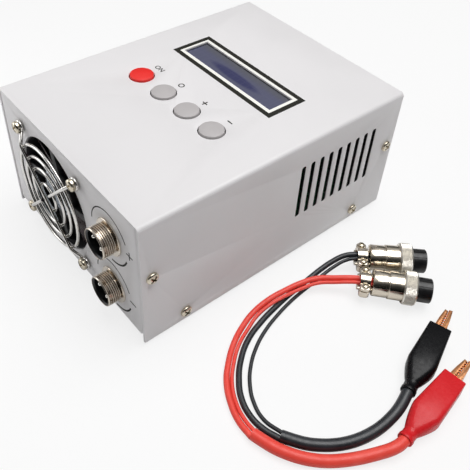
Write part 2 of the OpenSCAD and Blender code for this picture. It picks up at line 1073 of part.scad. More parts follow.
module shunt_resistor() {
    leg = 5;
    span = 6;
    color(copper)
        translate([0, shunt_y, main_board_top]) {
            for (side = [-1, 1])
                translate([side * span, 0, 0])
                    cylinder(r = 1, h = leg, $fn = 32);
            translate([0, 0, leg])
                rotate([90, 0, 0])
                    torus(span, 1, 180);
        }
}

// Low voltage socket in the back panel, with its nut outside
module dc_jack() {
    color(black_plastic)
        translate([jack_x, back_y, jack_z])
            rotate([-90, 0, 0]) {
                difference() {
                    union() {
                        translate([0, 0, -sheet_t - jack_body_len])
                            cylinder(r = jack_body_r, h = jack_body_len);
                        translate([0, 0, -sheet_t - 1])
                            cylinder(r = jack_r, h = sheet_t + 1 + jack_reach);
                        cylinder(r = 5.8, h = jack_reach - 0.3, $fn = 6);
                    }
                    translate([0, 0, -9])
                        cylinder(r = 2.85, h = 12);
                }
                translate([0, 0, -9.5])
                    cylinder(r = 1.05, h = 9, $fn = 32);
            }
}

// Flat cable in a loose S between the two boards, with a connector at each end
module ribbon_cable() {
    width = 12.7;
    thick = 0.9;
    bend = 8;
    upper = display_board_top - board_t;
    mid_y = front_y + 124;
    color("lightgray")
        translate([display_x - width / 2, 0, 0]) {
            translate([-1.5, mid_y - 12, upper - 5])
                cube([width + 3, 6, 5]);
            translate([-1.5, mid_y + 6, main_board_top])
                cube([width + 3, 6, 5]);
            translate([0, mid_y - 6, upper - 3])
                cube([width, 6 - bend + 0.4 + 2, thick]);
            rotate([90, 0, 90])
                linear_extrude(width) {
                    translate([mid_y - bend + 2.4, upper - 3 - bend + thick])
                        quarter_ring(bend, thick, 0);
                    translate([mid_y + 2.4 - thick, main_board_top + 3 + bend - thick])
                        square([thick, upper - main_board_top - 6 - 2 * bend + 2 * thick]);
                    translate([mid_y + 2.4 + bend - thick, main_board_top + 3 + bend - thick])
                        quarter_ring(bend, thick, 180);
                }
        }
}

module quarter_ring(r, t, turn) {
    rotate([0, 0, turn])
        difference() {
            intersection() {
                circle(r);
                square(r + 1);
            }
            circle(r - t);
        }
}

module socket_wires_red() {
    color(red_pvc) {
        tube(positive_inner_route, 1.3);
        tube(positive_sense_route, 0.9);
    }
}

module socket_wires_black() {
    color(black_pvc) {
        tube(negative_inner_route, 1.3);
        tube(negative_sense_route, 0.9);
    }
}

module fan_wire() {
    color(black_pvc)
        tube(fan_wire_route, 0.9);
    color(black_plastic)
        translate([20, front_y + 25, main_board_top])
            cube([6, 5, 4.5]);
}

// Plugs. Local +Z runs from the cable clamp at 0 to the contacts, and the
// clamp's screws stand across it.

module plug_body() {
    // Two-step barrel with the collar that holds the coupling ring
    difference() {
        union() {
            translate([0, 0, clamp_len])
                cylinder(r = clamp_barrel_r, h = step_at - clamp_len);
            translate([0, 0, step_at])
                cylinder(r = barrel_r, h = ring_from + 1.7 - step_at);
            translate([0, 0, ring_from + 1.7])
                cylinder(r = ring_bore - 0.2, h = 1.4);
        }
        translate([0, 0, insert_from])
            cylinder(r = insert_tail_r, h = plug_len);
        translate([0, 0, step_at])
            disc_ring(8, clamp_barrel_r - 0.2, 0.5);
    }
    // Lower half of the cable clamp
    difference() {
        intersection() {
            union() {
                cylinder(r = 4.6, h = clamp_len);
                translate([0, -ear_w / 2, 1])
                    cube([4.6, ear_w, 5]);
            }
            translate([0, -8, 0])
                cube([8, 16, clamp_len]);
        }
        translate([0, 0, -1])
            cylinder(r = saddle_bore, h = clamp_len + 1);
        for (side = [-1, 1])
            translate([-1, side * ear_y, clamp_screw_z])
                rotate([0, 90, 0])
                    cylinder(r = 1.05, h = 8, $fn = 32);
    }
}

module red_plug_body() {
    color(nickel)
        at_plug(red_plug_at, red_plug_turn)
            plug_body();
}

module black_plug_body() {
    color(nickel)
        at_plug(black_plug_at, black_plug_turn)
            plug_body();
}

// Upper strap of the cable clamp
module plug_clamps() {
    color(nickel)
        both_plugs()
            difference() {
                intersection() {
                    union() {
                        translate([0, 0, 1])
                            cylinder(r = 4.4, h = 5);
                        translate([-2.2, -ear_w / 2, 1])
                            cube([2.2, ear_w, 5]);
                    }
                    translate([-8, -8, 0])
                        cube([7.7, 16, clamp_len]);
                }
                translate([0, 0, -1])
                    cylinder(r = saddle_bore, h = clamp_len + 2);
                for (side = [-1, 1])
                    translate([-8, side * ear_y, clamp_screw_z])
                        rotate([0, 90, 0])
                            cylinder(r = 1.1, h = 9, $fn = 32);
            }
}

module clamp_screws() {
    color(nickel)
        both_plugs()
            for (side = [-1, 1])
                translate([-2.2, side * ear_y, clamp_screw_z])
                    rotate([0, -90, 0])
                        pan_screw(clamp_head, 1, 8);
}

module plug_inserts() {
    color(black_plastic)
        both_plugs()
            difference() {
                union() {
                    translate([0, 0, insert_from])
                        cylinder(r = insert_tail_r, h = shoulder_at - insert_from);
                    translate([0, 0, shoulder_at])
                        cylinder(r = insert_r, h = plug_len - shoulder_at);
                }
                pin_places(pin_spread)
                    translate([0, 0, plug_len - 9])
                        cylinder(r = pin_r + 0.1, h = 10);
                rotate([0, 0, 90 + pin_turn])
                    translate([insert_r - 0.9, -0.9, plug_len - 8])
                        cube([2, 1.8, 9]);
            }
}

module coupling_ring() {
    translate([0, 0, ring_from])
        difference() {
            union() {
                cylinder(r = coupling_r - 0.5, h = ring_len);
                translate([0, 0, 0.6])
                    cylinder(r = coupling_r, h = ring_len - 1.2);
            }
            translate([0, 0, -1])
                cylinder(r = ring_lip, h = ring_len);
            translate([0, 0, 1.4])
                cylinder(r = ring_bore, h = ring_len);
        }
}

module red_plug_ring() {
    color(nickel)
        at_plug(red_plug_at, red_plug_turn)
            coupling_ring();
}

module black_plug_ring() {
    color(nickel)
        at_plug(black_plug_at, black_plug_turn)
            coupling_ring();
}

module red_power_wire() {
    color(red_pvc)
        tube(red_power_route, power_r);
}

module red_sense_wire() {
    color(red_pvc)
        tube(red_sense_route, sense_r);
}

module black_power_wire() {
    color(black_pvc)
        tube(black_power_route, power_r);
}

module black_sense_wire() {
    color(black_pvc)
        tube(black_sense_route, sense_r);
}

module red_sleeve() {
    color(red_pvc)
        tube(red_sleeve_route, sleeve_r, 12);
}

module black_sleeve() {
    color(black_pvc)
        tube(black_sleeve_route, sleeve_r, 12);
}

// Clips. Local +X runs from the cable end at 0 to the jaws' tip, and the
// pivot stands upright.

module boot_section(x, w, half) {
    for (side = [-1, 1])
        translate([x, side * (w - 1.6), -half])
            cylinder(r = 1.6, h = 2 * half, $fn = 32);
}

// The soft boot's form: round neck, wide belly, straight mouth. cut shrinks
// it to the hollow inside.
module boot_form(cut) {
    hull() {
        translate([neck_len, 0, 0])
            rotate([0, 90, 0])
                cylinder(r = neck_r - cut, h = 0.5, $fn = 32);
        boot_section(belly_x, belly_w - cut, boot_half - cut);
    }
    hull() {
        boot_section(belly_x, belly_w - cut, boot_half - cut);
        boot_section(mouth_x - 1.6 + 2 * cut, mouth_w - cut, boot_half - cut);
    }
}

module clip_boot() {
    difference() {
        union() {
            boot_form(0);
            rotate([0, 90, 0])
                cylinder(r = neck_r, h = neck_len + 0.4, $fn = 32);
        }
        boot_form(boot_wall);
        translate([-1, 0, 0])
            rotate([0, 90, 0])
                cylinder(r = sleeve_r + 0.05, h = neck_len + 4, $fn = 32);
    }
}

module red_clip_boot() {
    color(red_pvc)
        at_clip(red_clip_at, red_clip_turn)
            clip_boot();
}

module black_clip_boot() {
    color(black_pvc)
        at_clip(black_clip_at, black_clip_turn)
            clip_boot();
}

// Outline of a jaw and its handle on the +Y side, seen along the pivot: teeth
// on the inner edge, a back that swells at the pivot, and a spread handle
module jaw_outline() {
    teeth = [
        for (i = [0 : tooth_count - 1]) each
            [[clip_len - 0.4 - i * tooth_pitch, 0.05],
             [clip_len - 0.4 - (i + 0.5) * tooth_pitch, 0.05 + tooth_depth]]
    ];
    polygon(concat(teeth, [[34, 1.2], [27, 1.4], [17, 2.8], [15, 3.6], [15, 4.7]],
        [for (i = [len(jaw_back) - 1 : -1 : 0]) jaw_back[i]]));
}

// A stamped channel, half_z wide each way from the middle
module jaw(half_z) {
    difference() {
        union() {
            translate([0, 0, -half_z])
                linear_extrude(2 * half_z)
                    jaw_outline();
            translate([pivot_x, 0, -half_z])
                cylinder(r = 2.4, h = 2 * half_z);
        }
        translate([0, 0, -half_z + jaw_wall])
            linear_extrude(2 * (half_z - jaw_wall))
                polygon(concat([[clip_len - jaw_wall, -4], [14, -4]],
                    [[14, 5.3 - jaw_wall]],
                    [for (i = [len(jaw_back) - 2 : -1 : 1]) jaw_back[i] - [0, jaw_wall]],
                    [[clip_len - jaw_wall, 1.75 - jaw_wall]]));
        translate([pivot_x, 0, -half_z - 1])
            cylinder(r = 1.3, h = 2 * half_z + 2, $fn = 48);
    }
}

module clip_fixed_jaws() {
    color(copper)
        both_clips()
            mirror([0, 1, 0])
                jaw(wide_half);
}

module red_clip_jaw() {
    color(copper)
        at_clip(red_clip_at, red_clip_turn)
            jaw(narrow_half);
}

module black_clip_jaw() {
    color(copper)
        at_clip(black_clip_at, black_clip_turn)
            jaw(narrow_half);
}

module clip_pins() {
    color(nickel)
        both_clips()
            translate([pivot_x, 0, 0]) {
                translate([0, 0, -wide_half - 0.4])
                    cylinder(r = 1.25, h = 2 * wide_half + 0.8, $fn = 48);
                for (side = [-1, 1])
                    translate([0, 0, side * (wide_half + 0.2) - 0.2])
                        cylinder(r = 1.9, h = 0.4, $fn = 48);
            }
}

// Torsion spring: three close turns round the pin and a leg to each handle
module clip_spring() {
    wire = 0.45;
    pitch = 0.85;
    turn_r = 1.8;
    translate([pivot_x, 0, 0])
        rotate_extrude()
            for (turn = [-1, 0, 1])
                translate([turn_r, turn * pitch])
                    circle(wire, $fn = 24);
    for (side = [-1, 1])
        rod([pivot_x, side * turn_r, side * pitch], [18, side * 3.5, side * pitch], wire - 0.05);
}

module red_clip_spring() {
    color(nickel)
        at_clip(red_clip_at, red_clip_turn)
            clip_spring();
}

module black_clip_spring() {
    color(nickel)
        at_clip(black_clip_at, black_clip_turn)
            clip_spring();
}

chassis();
cover();
cover_screws();
feet();
fan_frame();
fan_bearing();
fan_shaft();
fan_rotor();
fan_guard();
fan_screws();
fan_nuts();
positive_socket();
negative_socket();
socket_inserts();
socket_pins();
socket_nuts();
lcd_frame();
lcd_glass();
lcd_backlight();
display_board();
display_studs();
board_screws();
key_switches();
button_on();
button_set();
button_increase();
button_decrease();
main_board();
board_spacers();
heatsink();
transistors();
capacitors();
shunt_resistor();
dc_jack();
ribbon_cable();
socket_wires_red();
socket_wires_black();
fan_wire();
plug_clamps();
clamp_screws();
plug_inserts();
red_plug_body();
black_plug_body();
red_plug_ring();
black_plug_ring();
red_power_wire();
red_sense_wire();
black_power_wire();
black_sense_wire();
red_sleeve();
black_sleeve();
red_clip_boot();
black_clip_boot();
clip_fixed_jaws();
red_clip_jaw();
black_clip_jaw();
clip_pins();
red_clip_spring();
black_clip_spring();
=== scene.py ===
# %% [markdown]
# # A battery tester and its two clip leads
#
# The real object is a small bench instrument. Its case is two folded steel
# sheets with grey powder paint. A fan with a wire guard and two round sockets
# are in front, a display and four push buttons on top. Two leads lie beside
# it: each has a plug, two wires, a sleeve that joins them, and a spring clip.
#
# CAD made every solid at its size. This notebook gives them their looks. It
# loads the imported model, and then goes from the camera and the cords to the
# case, the fan, the sockets, the display, the plugs and the clips.

# %% Load the frame
import math

import bmesh
import bpy
from mathutils import Matrix, Vector


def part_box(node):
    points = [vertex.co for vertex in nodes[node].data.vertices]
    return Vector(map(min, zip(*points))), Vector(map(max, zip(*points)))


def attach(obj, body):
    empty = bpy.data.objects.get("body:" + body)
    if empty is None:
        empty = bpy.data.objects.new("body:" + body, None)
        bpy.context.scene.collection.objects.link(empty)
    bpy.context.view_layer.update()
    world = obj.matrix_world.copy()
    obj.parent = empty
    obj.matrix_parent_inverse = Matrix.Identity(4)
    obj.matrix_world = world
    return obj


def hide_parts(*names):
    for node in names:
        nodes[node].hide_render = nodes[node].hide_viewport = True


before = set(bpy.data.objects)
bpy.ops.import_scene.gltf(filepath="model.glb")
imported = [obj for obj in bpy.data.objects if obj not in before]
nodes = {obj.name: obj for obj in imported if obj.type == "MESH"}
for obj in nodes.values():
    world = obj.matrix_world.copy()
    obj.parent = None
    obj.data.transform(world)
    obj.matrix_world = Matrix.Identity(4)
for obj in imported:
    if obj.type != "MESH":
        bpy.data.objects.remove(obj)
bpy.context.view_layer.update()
MM = 0.001
UP = Vector((0, 0, 1))
print("CAD nodes:", len(nodes))

# %% [markdown]
# ## Camera
#
# A photograph's viewpoint can be found by eye, or worked out from a few
# corners whose real places are known. The second way was used: the case's
# corners, its screws and the buttons give the place, the turn and the lens.
# The lens is about 50 mm, and the camera looks down from the front right.

# %% Camera
camera = bpy.data.objects.new("camera", bpy.data.cameras.new("camera"))
bpy.context.scene.collection.objects.link(camera)
camera.location = Vector((209.335, -165.718, 253.893)) * MM
camera.rotation_euler = [math.radians(angle) for angle in (48.1367, -2.964, 50.0821)]
camera.data.sensor_width = 36
camera.data.lens = 50.56
camera.data.shift_y = -0.1064
bpy.context.scene.camera = camera
print("camera height in mm:", round(camera.location.z / MM))

# %% [markdown]
# ## Colours and nodes
#
# A picture stores a colour from 0 to 255 on a curve that suits the eye, and a
# shader wants the amount of light. One small function turns the first into
# the second, so each finish below can be written as it is seen.
#
# A finish starts from Principled. The other helpers add a node to it and feed
# its sockets, each from another node or with a plain value.

# %% Colours and nodes


def seen(red, green, blue):
    """A colour as it is seen, from 0 to 255, in the amounts of light that a shader wants."""
    def light(value):
        value /= 255
        return value / 12.92 if value < 0.04 else ((value + 0.055) / 1.055) ** 2.4
    return (light(red), light(green), light(blue), 1)


def add_node(finish, kind, values=None, **settings):
    node = finish.node_tree.nodes.new(kind)
    for name, value in settings.items():
        setattr(node, name, value)
    for name, value in (values or {}).items():
        node.inputs[name].default_value = value
    return node


def feed(finish, value, socket):
    """Gives a socket another node's output, or a plain value."""
    if isinstance(value, bpy.types.NodeSocket):
        finish.node_tree.links.new(value, socket)
    else:
        socket.default_value = value


def maths(finish, operation, *values, kind="ShaderNodeVectorMath"):
    """One step of arithmetic: on vectors, unless kind is the node for numbers."""
    node = add_node(finish, kind, operation=operation)
    for value, socket in zip(values, node.inputs):
        feed(finish, value, socket)
    return node.outputs["Value" if operation in ("LENGTH", "DOT_PRODUCT") else 0]


def shader_of(finish):
    return next(n for n in finish.node_tree.nodes if n.type == "BSDF_PRINCIPLED")


def new_finish(name, colour, rough, metal=0.0, **sockets):
    finish = bpy.data.materials.new(name)
    finish.use_nodes = True
    finish.diffuse_color = seen(*colour)
    shader = shader_of(finish)
    shader.inputs["Base Color"].default_value = seen(*colour)
    shader.inputs["Roughness"].default_value = rough
    shader.inputs["Metallic"].default_value = metal
    for socket, value in sockets.items():
        shader.inputs[socket.replace("_", " ").title().replace("Ior", "IOR")].default_value = value
    return finish


print("half of 255 as light:", round(seen(128, 128, 128)[0], 3))

# %% [markdown]
# ## Patterns on a surface
#
# No real surface is even, so thin layers go over each finish: patches for its
# colour, grain for its height, and uneven gloss. Each is a cloudy noise with
# spots of a size in mm, on Object coordinates, so that it stays on its piece.
# Edges get a paler tint: wear on plastic and vinyl, and a painted highlight on
# the case's paint.

# %% Patterns on a surface


def on_piece(finish):
    """Object coordinates, in metres."""
    return add_node(finish, "ShaderNodeTexCoord").outputs["Object"]


def mapped(finish, vector, **values):
    mapping = add_node(finish, "ShaderNodeMapping", values)
    feed(finish, vector, mapping.inputs["Vector"])
    return mapping.outputs["Vector"]


def noise(finish, size_mm, detail=3, stretch=(1, 1, 1)):
    """Cloudy values from 0 to 1, with spots of about size_mm, longer where stretch is small."""
    clouds = add_node(finish, "ShaderNodeTexNoise", {"Scale": 1 / (size_mm * MM), "Detail": detail})
    feed(finish, mapped(finish, on_piece(finish), Scale=stretch), clouds.inputs["Vector"])
    return clouds.outputs["Fac"]


def ramp(finish, value, low, high, start=0.0, end=1.0, **settings):
    """Turns the part of a value from low to high into start to end."""
    node = add_node(finish, "ShaderNodeMapRange", **settings)
    for name, number in (("From Min", low), ("From Max", high), ("To Min", start), ("To Max", end)):
        node.inputs[name].default_value = number
    feed(finish, value, node.inputs["Value"])
    return node.outputs["Result"]


def tint(finish, mask, colour):
    """Paints colour over what the finish has, where mask is 1."""
    base = shader_of(finish).inputs["Base Color"]
    under = base.links[0].from_socket if base.links else base.default_value
    mix = add_node(finish, "ShaderNodeMix", data_type="RGBA")
    for value, number in ((mask, 0), (under, 6), (seen(*colour), 7)):
        feed(finish, value, mix.inputs[number])
    feed(finish, mix.outputs[2], base)


def grain(finish, height, depth_mm, strength=1.0):
    """Adds a height to the surface's bump."""
    normal = shader_of(finish).inputs["Normal"]
    bump = add_node(finish, "ShaderNodeBump", {"Strength": strength, "Distance": depth_mm * MM})
    feed(finish, height, bump.inputs["Height"])
    if normal.links:
        feed(finish, normal.links[0].from_socket, bump.inputs["Normal"])
    feed(finish, bump.outputs["Normal"], normal)


def uneven_gloss(finish, value, low, high):
    feed(finish, ramp(finish, value, 0.3, 0.7, low, high), shader_of(finish).inputs["Roughness"])


def edge_mask(finish, radius_mm, strength):
    """strength along outer edges, where a rounded normal leaves the flat one, and 0 elsewhere."""
    rounded = add_node(finish, "ShaderNodeBevel", {"Radius": radius_mm * MM}, samples=4).outputs["Normal"]
    flat = add_node(finish, "ShaderNodeNewGeometry").outputs["Normal"]
    return ramp(finish, maths(finish, "DOT_PRODUCT", rounded, flat), 0.995, 0.85, 0, strength)


print("pattern helpers ready")

# %% [markdown]
# ## Paint, plastic and rubber
#
# Powder paint melts into a skin with a fine ripple, called orange peel. It is
# a noise of about a millimetre, very shallow, and a finer one over it. Bare
# metal never shows on this case. Its folds and holes are a little lighter, as
# a painted highlight along the edges.

# %% Paint, plastic and rubber


def painted(name, colour):
    paint = new_finish(name, colour, 0.42)
    tint(paint, ramp(paint, noise(paint, 45), 0.4, 0.75, 0, 0.25), [c - 7 for c in colour])
    # Painted highlight: the folds and holes of the paint are a little lighter.
    tint(paint, edge_mask(paint, 0.7, 0.5), [min(255, c + 14) for c in colour])
    uneven_gloss(paint, noise(paint, 12), 0.36, 0.5)
    grain(paint, noise(paint, 1.1, 2), 0.05, 0.5)
    grain(paint, noise(paint, 0.35, 1), 0.012, 0.5)
    return paint


def moulded(name, colour, rough, worn=None, **sockets):
    plastic = new_finish(name, colour, rough, **sockets)
    worn = worn or [min(255, c + 26) for c in colour]
    tint(plastic, ramp(plastic, noise(plastic, 6), 0.5, 0.8, 0, 0.22), worn)
    tint(plastic, edge_mask(plastic, 0.25, 0.45), worn)
    uneven_gloss(plastic, noise(plastic, 2.5), rough - 0.07, rough + 0.1)
    grain(plastic, noise(plastic, 0.25, 2), 0.02, 0.6)
    return plastic


case_paint = painted("case_paint", (232, 230, 231))
fan_plastic = moulded("fan_plastic", (24, 23, 25), 0.42)
blade_plastic = moulded("blade_plastic", (50, 27, 30), 0.28, (96, 62, 66))
insulator_black = moulded("insulator_black", (17, 17, 19), 0.34)
bezel_black = moulded("bezel_black", (26, 26, 28), 0.5)
switch_black = moulded("switch_black", (34, 34, 36), 0.5)
foot_rubber = moulded("foot_rubber", (38, 38, 38), 0.8, (74, 72, 70))
key_red = moulded("key_red", (240, 38, 32), 0.33, (248, 74, 64), coat_weight=0.15)
key_grey = moulded("key_grey", (187, 183, 183), 0.42, (204, 200, 199))
print("plastics and paints:", len(bpy.data.materials))

# %% [markdown]
# ## Metals
#
# Plated and stamped metal is never one even mirror. Nickel is warm, with
# faint stains, chrome wire is colder and smoother, and copper has dark stains
# where fingers touched it. One helper makes them all, with patches of colour
# and of gloss, and the patches of the drawn heat sink are long streaks.

# %% Metals


def metal(name, colour, rough, stain, spread=0.1, stretch=(1, 1, 1)):
    plate = new_finish(name, colour, rough, 1.0)
    tint(plate, ramp(plate, noise(plate, 4.5), 0.5, 0.8, 0, 0.3), stain)
    uneven_gloss(plate, noise(plate, 2.2, 2, stretch), rough - spread / 2, rough + spread / 2)
    grain(plate, noise(plate, 0.4, 1, stretch), 0.001, 0.4)
    return plate


nickel_plate = metal("nickel_plate", (214, 205, 190), 0.17, (176, 162, 140))
knurled_nickel = metal("knurled_nickel", (224, 220, 211), 0.34, (190, 182, 168))
guard_chrome = metal("guard_chrome", (226, 224, 220), 0.12, (190, 186, 180), 0.07)
screw_steel = metal("screw_steel", (214, 205, 186), 0.22, (168, 152, 124))
contact_silver = metal("contact_silver", (240, 238, 232), 0.1, (206, 200, 190), 0.06)
shaft_steel = metal("shaft_steel", (196, 196, 198), 0.2, (160, 158, 156))
bearing_bronze = metal("bearing_bronze", (186, 142, 84), 0.35, (132, 94, 52))
jaw_copper = metal("jaw_copper", (232, 164, 116), 0.24, (186, 116, 72), 0.14)
sink_aluminium = metal("sink_aluminium", (176, 178, 180), 0.38, (140, 142, 146), 0.1, (1, 0.08, 1))
shunt_alloy = metal("shunt_alloy", (170, 122, 84), 0.36, (120, 84, 56))
print("finishes so far:", len(bpy.data.materials))

# %% [markdown]
# ## Wire covers, boots and the inside
#
# The wires and sleeves have soft vinyl covers with a dull shine, and the
# boots' vinyl is smoother. Their colour lightens slightly where they are bent
# or handled. The boards have green lacquer over copper tracks, and the joints
# of a brick pattern stand for the tracks.

# %% Wire covers, boots and the inside


def soft_cover(name, colour, pale, rough, **sockets):
    cover = new_finish(name, colour, rough, **sockets)
    tint(cover, ramp(cover, noise(cover, 9, 2), 0.45, 0.75, 0, 0.4), pale)
    tint(cover, edge_mask(cover, 0.6, 0.35), pale)
    uneven_gloss(cover, noise(cover, 1.6), rough - 0.06, rough + 0.12)
    grain(cover, noise(cover, 0.5, 2), 0.02, 0.5)
    return cover


pvc_red = soft_cover("pvc_red", (240, 76, 64), (250, 112, 100), 0.36, specular_ior_level=0.4)
pvc_black = soft_cover("pvc_black", (32, 35, 39), (54, 58, 64), 0.36, coat_weight=0.1)
boot_red = soft_cover("boot_red", (216, 36, 42), (230, 56, 62), 0.24, specular_ior_level=0.25)
boot_black = soft_cover("boot_black", (8, 8, 11), (18, 18, 22), 0.24, specular_ior_level=0.22)
ribbon_grey = soft_cover("ribbon_grey", (168, 168, 166), (196, 196, 194), 0.5)
capacitor_blue = soft_cover("capacitor_blue", (32, 40, 78), (64, 74, 120), 0.3, coat_weight=0.3)


def bricks(finish, vector, values, **settings):
    """A brick pattern in grey: its joints are 1, and its bricks are dark."""
    values = {"Color1": (0, 0, 0, 1), "Mortar": (1, 1, 1, 1), **values}
    pattern = add_node(finish, "ShaderNodeTexBrick", values, **settings)
    feed(finish, vector, pattern.inputs["Vector"])
    grey = add_node(finish, "ShaderNodeRGBToBW")
    feed(finish, pattern.outputs["Color"], grey.inputs["Color"])
    return grey.outputs["Val"]


def lacquered_board(name):
    board = new_finish(name, (18, 74, 44), 0.32, coat_weight=0.4)
    tracks = bricks(board, on_piece(board), {
        "Color2": (0.2, 0.2, 0.2, 1), "Scale": 130, "Mortar Size": 0.016, "Mortar Smooth": 0.2,
        "Brick Width": 0.8, "Row Height": 0.3})
    tint(board, ramp(board, tracks, 0, 1, 0, 0.55), (52, 128, 82))
    grain(board, tracks, 0.04)
    uneven_gloss(board, noise(board, 5), 0.25, 0.4)
    return board


board_green = lacquered_board("board_green")
print("finishes:", len(bpy.data.materials))

# %% [markdown]
# ## Selecting and turning
#
# An operator works on everything that is selected, and the loaded nodes start
# out selected. So each piece begins by deselecting all, and every selection
# after that is made in code, by where a face is or which way it looks.
#
# Most pieces of this object are round, and one helper turns them: a single
# point is pulled along half of the section, and the section is spun round.

# %% Selecting and turning
WELD_MM = 0.002


def clear_selection():
    if bpy.context.object and bpy.context.object.mode != "OBJECT":
        bpy.ops.object.mode_set(mode="OBJECT")
    bpy.ops.object.select_all(action="DESELECT")


def take(*pieces):
    clear_selection()
    for piece in pieces:
        piece.select_set(True)
    bpy.context.view_layer.objects.active = pieces[0]


def begin(name, add_primitive, **sizes):
    """Adds a primitive, names it and opens it for editing, all selected."""
    clear_selection()
    add_primitive(**sizes)
    piece = bpy.context.object
    piece.name = piece.data.name = name
    bpy.ops.object.mode_set(mode="EDIT")
    bpy.ops.mesh.select_mode(type="VERT")
    bpy.ops.mesh.select_all(action="SELECT")
    return piece


def pick(piece, kind, wanted):
    """Selects the faces, edges or corners for which wanted() is true."""
    bpy.ops.mesh.select_all(action="DESELECT")
    bpy.ops.mesh.select_mode(type=kind)
    mesh = bmesh.from_edit_mesh(piece.data)
    for item in {"FACE": mesh.faces, "EDGE": mesh.edges, "VERT": mesh.verts}[kind]:
        item.select_set(bool(wanted(item)))
    bmesh.update_edit_mesh(piece.data)


def close_mesh(piece):
    """Welds the seams, turns the faces outwards and leaves edit mode."""
    bpy.ops.mesh.select_all(action="SELECT")
    bpy.ops.mesh.remove_doubles(threshold=WELD_MM * MM)
    bpy.ops.mesh.normals_make_consistent(inside=False)
    bpy.ops.object.mode_set(mode="OBJECT")
    return piece


def apply_modifier(piece, kind, **settings):
    take(piece)
    modifier = piece.modifiers.new(kind.lower(), kind)
    for name, value in settings.items():
        setattr(modifier, name, value)
    bpy.ops.object.modifier_apply(modifier=modifier.name)


def soften(piece, width_mm, segments=2, angle=35):
    apply_modifier(piece, "BEVEL", width=width_mm * MM, segments=segments,
                   limit_method="ANGLE", angle_limit=math.radians(angle), harden_normals=False)


def smooth(piece, angle=35):
    take(piece)
    bpy.ops.object.shade_smooth_by_angle(angle=math.radians(angle))


def chain(name, points_mm):
    """A chain of edges through points, all selected and open in edit mode."""
    points = [Vector(point) * MM for point in points_mm]
    piece = begin(name, bpy.ops.mesh.primitive_plane_add, size=MM)
    bpy.ops.mesh.merge(type="CENTER")
    bpy.ops.transform.translate(value=points[0])
    for here, there in zip(points, points[1:]):
        bpy.ops.mesh.extrude_vertices_move(TRANSFORM_OT_translate={"value": there - here})
    bpy.ops.mesh.select_all(action="SELECT")
    return piece


def turned(name, section, steps=64):
    """A round piece. section is half of its outline, as (radius, height) in mm."""
    piece = chain(name, [(radius, 0, height) for radius, height in section])
    bpy.ops.mesh.spin(steps=steps, angle=math.tau, center=(0, 0, 0), axis=UP)
    close_mesh(piece)
    smooth(piece)
    return piece


print("modelling helpers ready")

# %% [markdown]
# ## Copies, places and finished pieces
#
# A piece is modelled round the origin, where its numbers are plain, and its
# points are then moved to their place. What repeats is modelled once and
# copied. Each finished piece gets its finish, the body that it moves with
# and the CAD nodes that it stands for.

# %% Copies, places and finished pieces


def moved(x_mm, y_mm, z_mm):
    return Matrix.Translation(Vector((x_mm, y_mm, z_mm)) * MM)


def rotated(degrees, axis):
    return Matrix.Rotation(math.radians(degrees), 4, axis)


def copy_of(piece, name):
    take(piece)
    bpy.ops.object.duplicate(linked=False)
    twin = bpy.context.object
    twin.name = twin.data.name = name
    return twin


def put(piece, matrix):
    """Moves the piece's own points to their place, so its object stays at the origin."""
    take(piece)
    piece.matrix_world = matrix
    bpy.ops.object.transform_apply(location=True, rotation=True, scale=True)
    return piece


def merged(pieces, name):
    take(*pieces)
    if len(pieces) > 1:
        bpy.ops.object.join()
    joined = bpy.context.object
    joined.name = joined.data.name = name
    return joined


def repeated(piece, name, matrices):
    """One piece for identical ones: a copy at each place, joined at the end."""
    copies = [put(copy_of(piece, name), matrix) for matrix in matrices]
    bpy.data.objects.remove(piece)
    return merged(copies, name)


def finished(piece, finish, body="tester", stands_for=()):
    """Gives a piece its finish, its body and the CAD nodes that it stands for."""
    piece.data.materials.clear()
    piece.data.materials.append(finish)
    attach(piece, body)
    if stands_for:
        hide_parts(*stands_for)
    return piece


def refined(node, name, finish, bevel_mm, body="tester", angle=35, reshape=None):
    """A welded copy of a CAD node with softened edges and smooth shading."""
    piece = bpy.data.objects.new(name, nodes[node].data.copy())
    piece.data.name = name
    bpy.context.scene.collection.objects.link(piece)
    take(piece)
    bpy.ops.object.mode_set(mode="EDIT")
    bpy.ops.mesh.select_all(action="SELECT")
    bpy.ops.mesh.remove_doubles(threshold=WELD_MM * MM)
    bpy.ops.mesh.customdata_custom_splitnormals_clear()
    bpy.ops.mesh.dissolve_limited(angle_limit=math.radians(0.5))
    if reshape:
        reshape(piece)
    bpy.ops.object.mode_set(mode="OBJECT")
    soften(piece, bevel_mm, 2, angle)
    smooth(piece, angle)
    return finished(piece, finish, body, [node])


def middle_of(node):
    """The middle of a CAD node's box, in mm."""
    low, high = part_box(node)
    return (low + high) / 2 / MM


print("middle of the cover in mm:", [round(x, 1) for x in middle_of("cover")])

# %% [markdown]
# ## The leads' wires and sleeves
#
# Each lead has a thick wire for the current and a thin one that measures the
# voltage at the clip. Both leave the plug's clamp, come down to the table
# and run side by side into a sleeve, which goes on into the clip's boot.
#
# A cord is a fixed length of something flexible, so it is drawn as one curve
# through chosen points, the ones that CAD used. A sleeve has few of them, so
# one more is worked out between each two, and its bends are even.

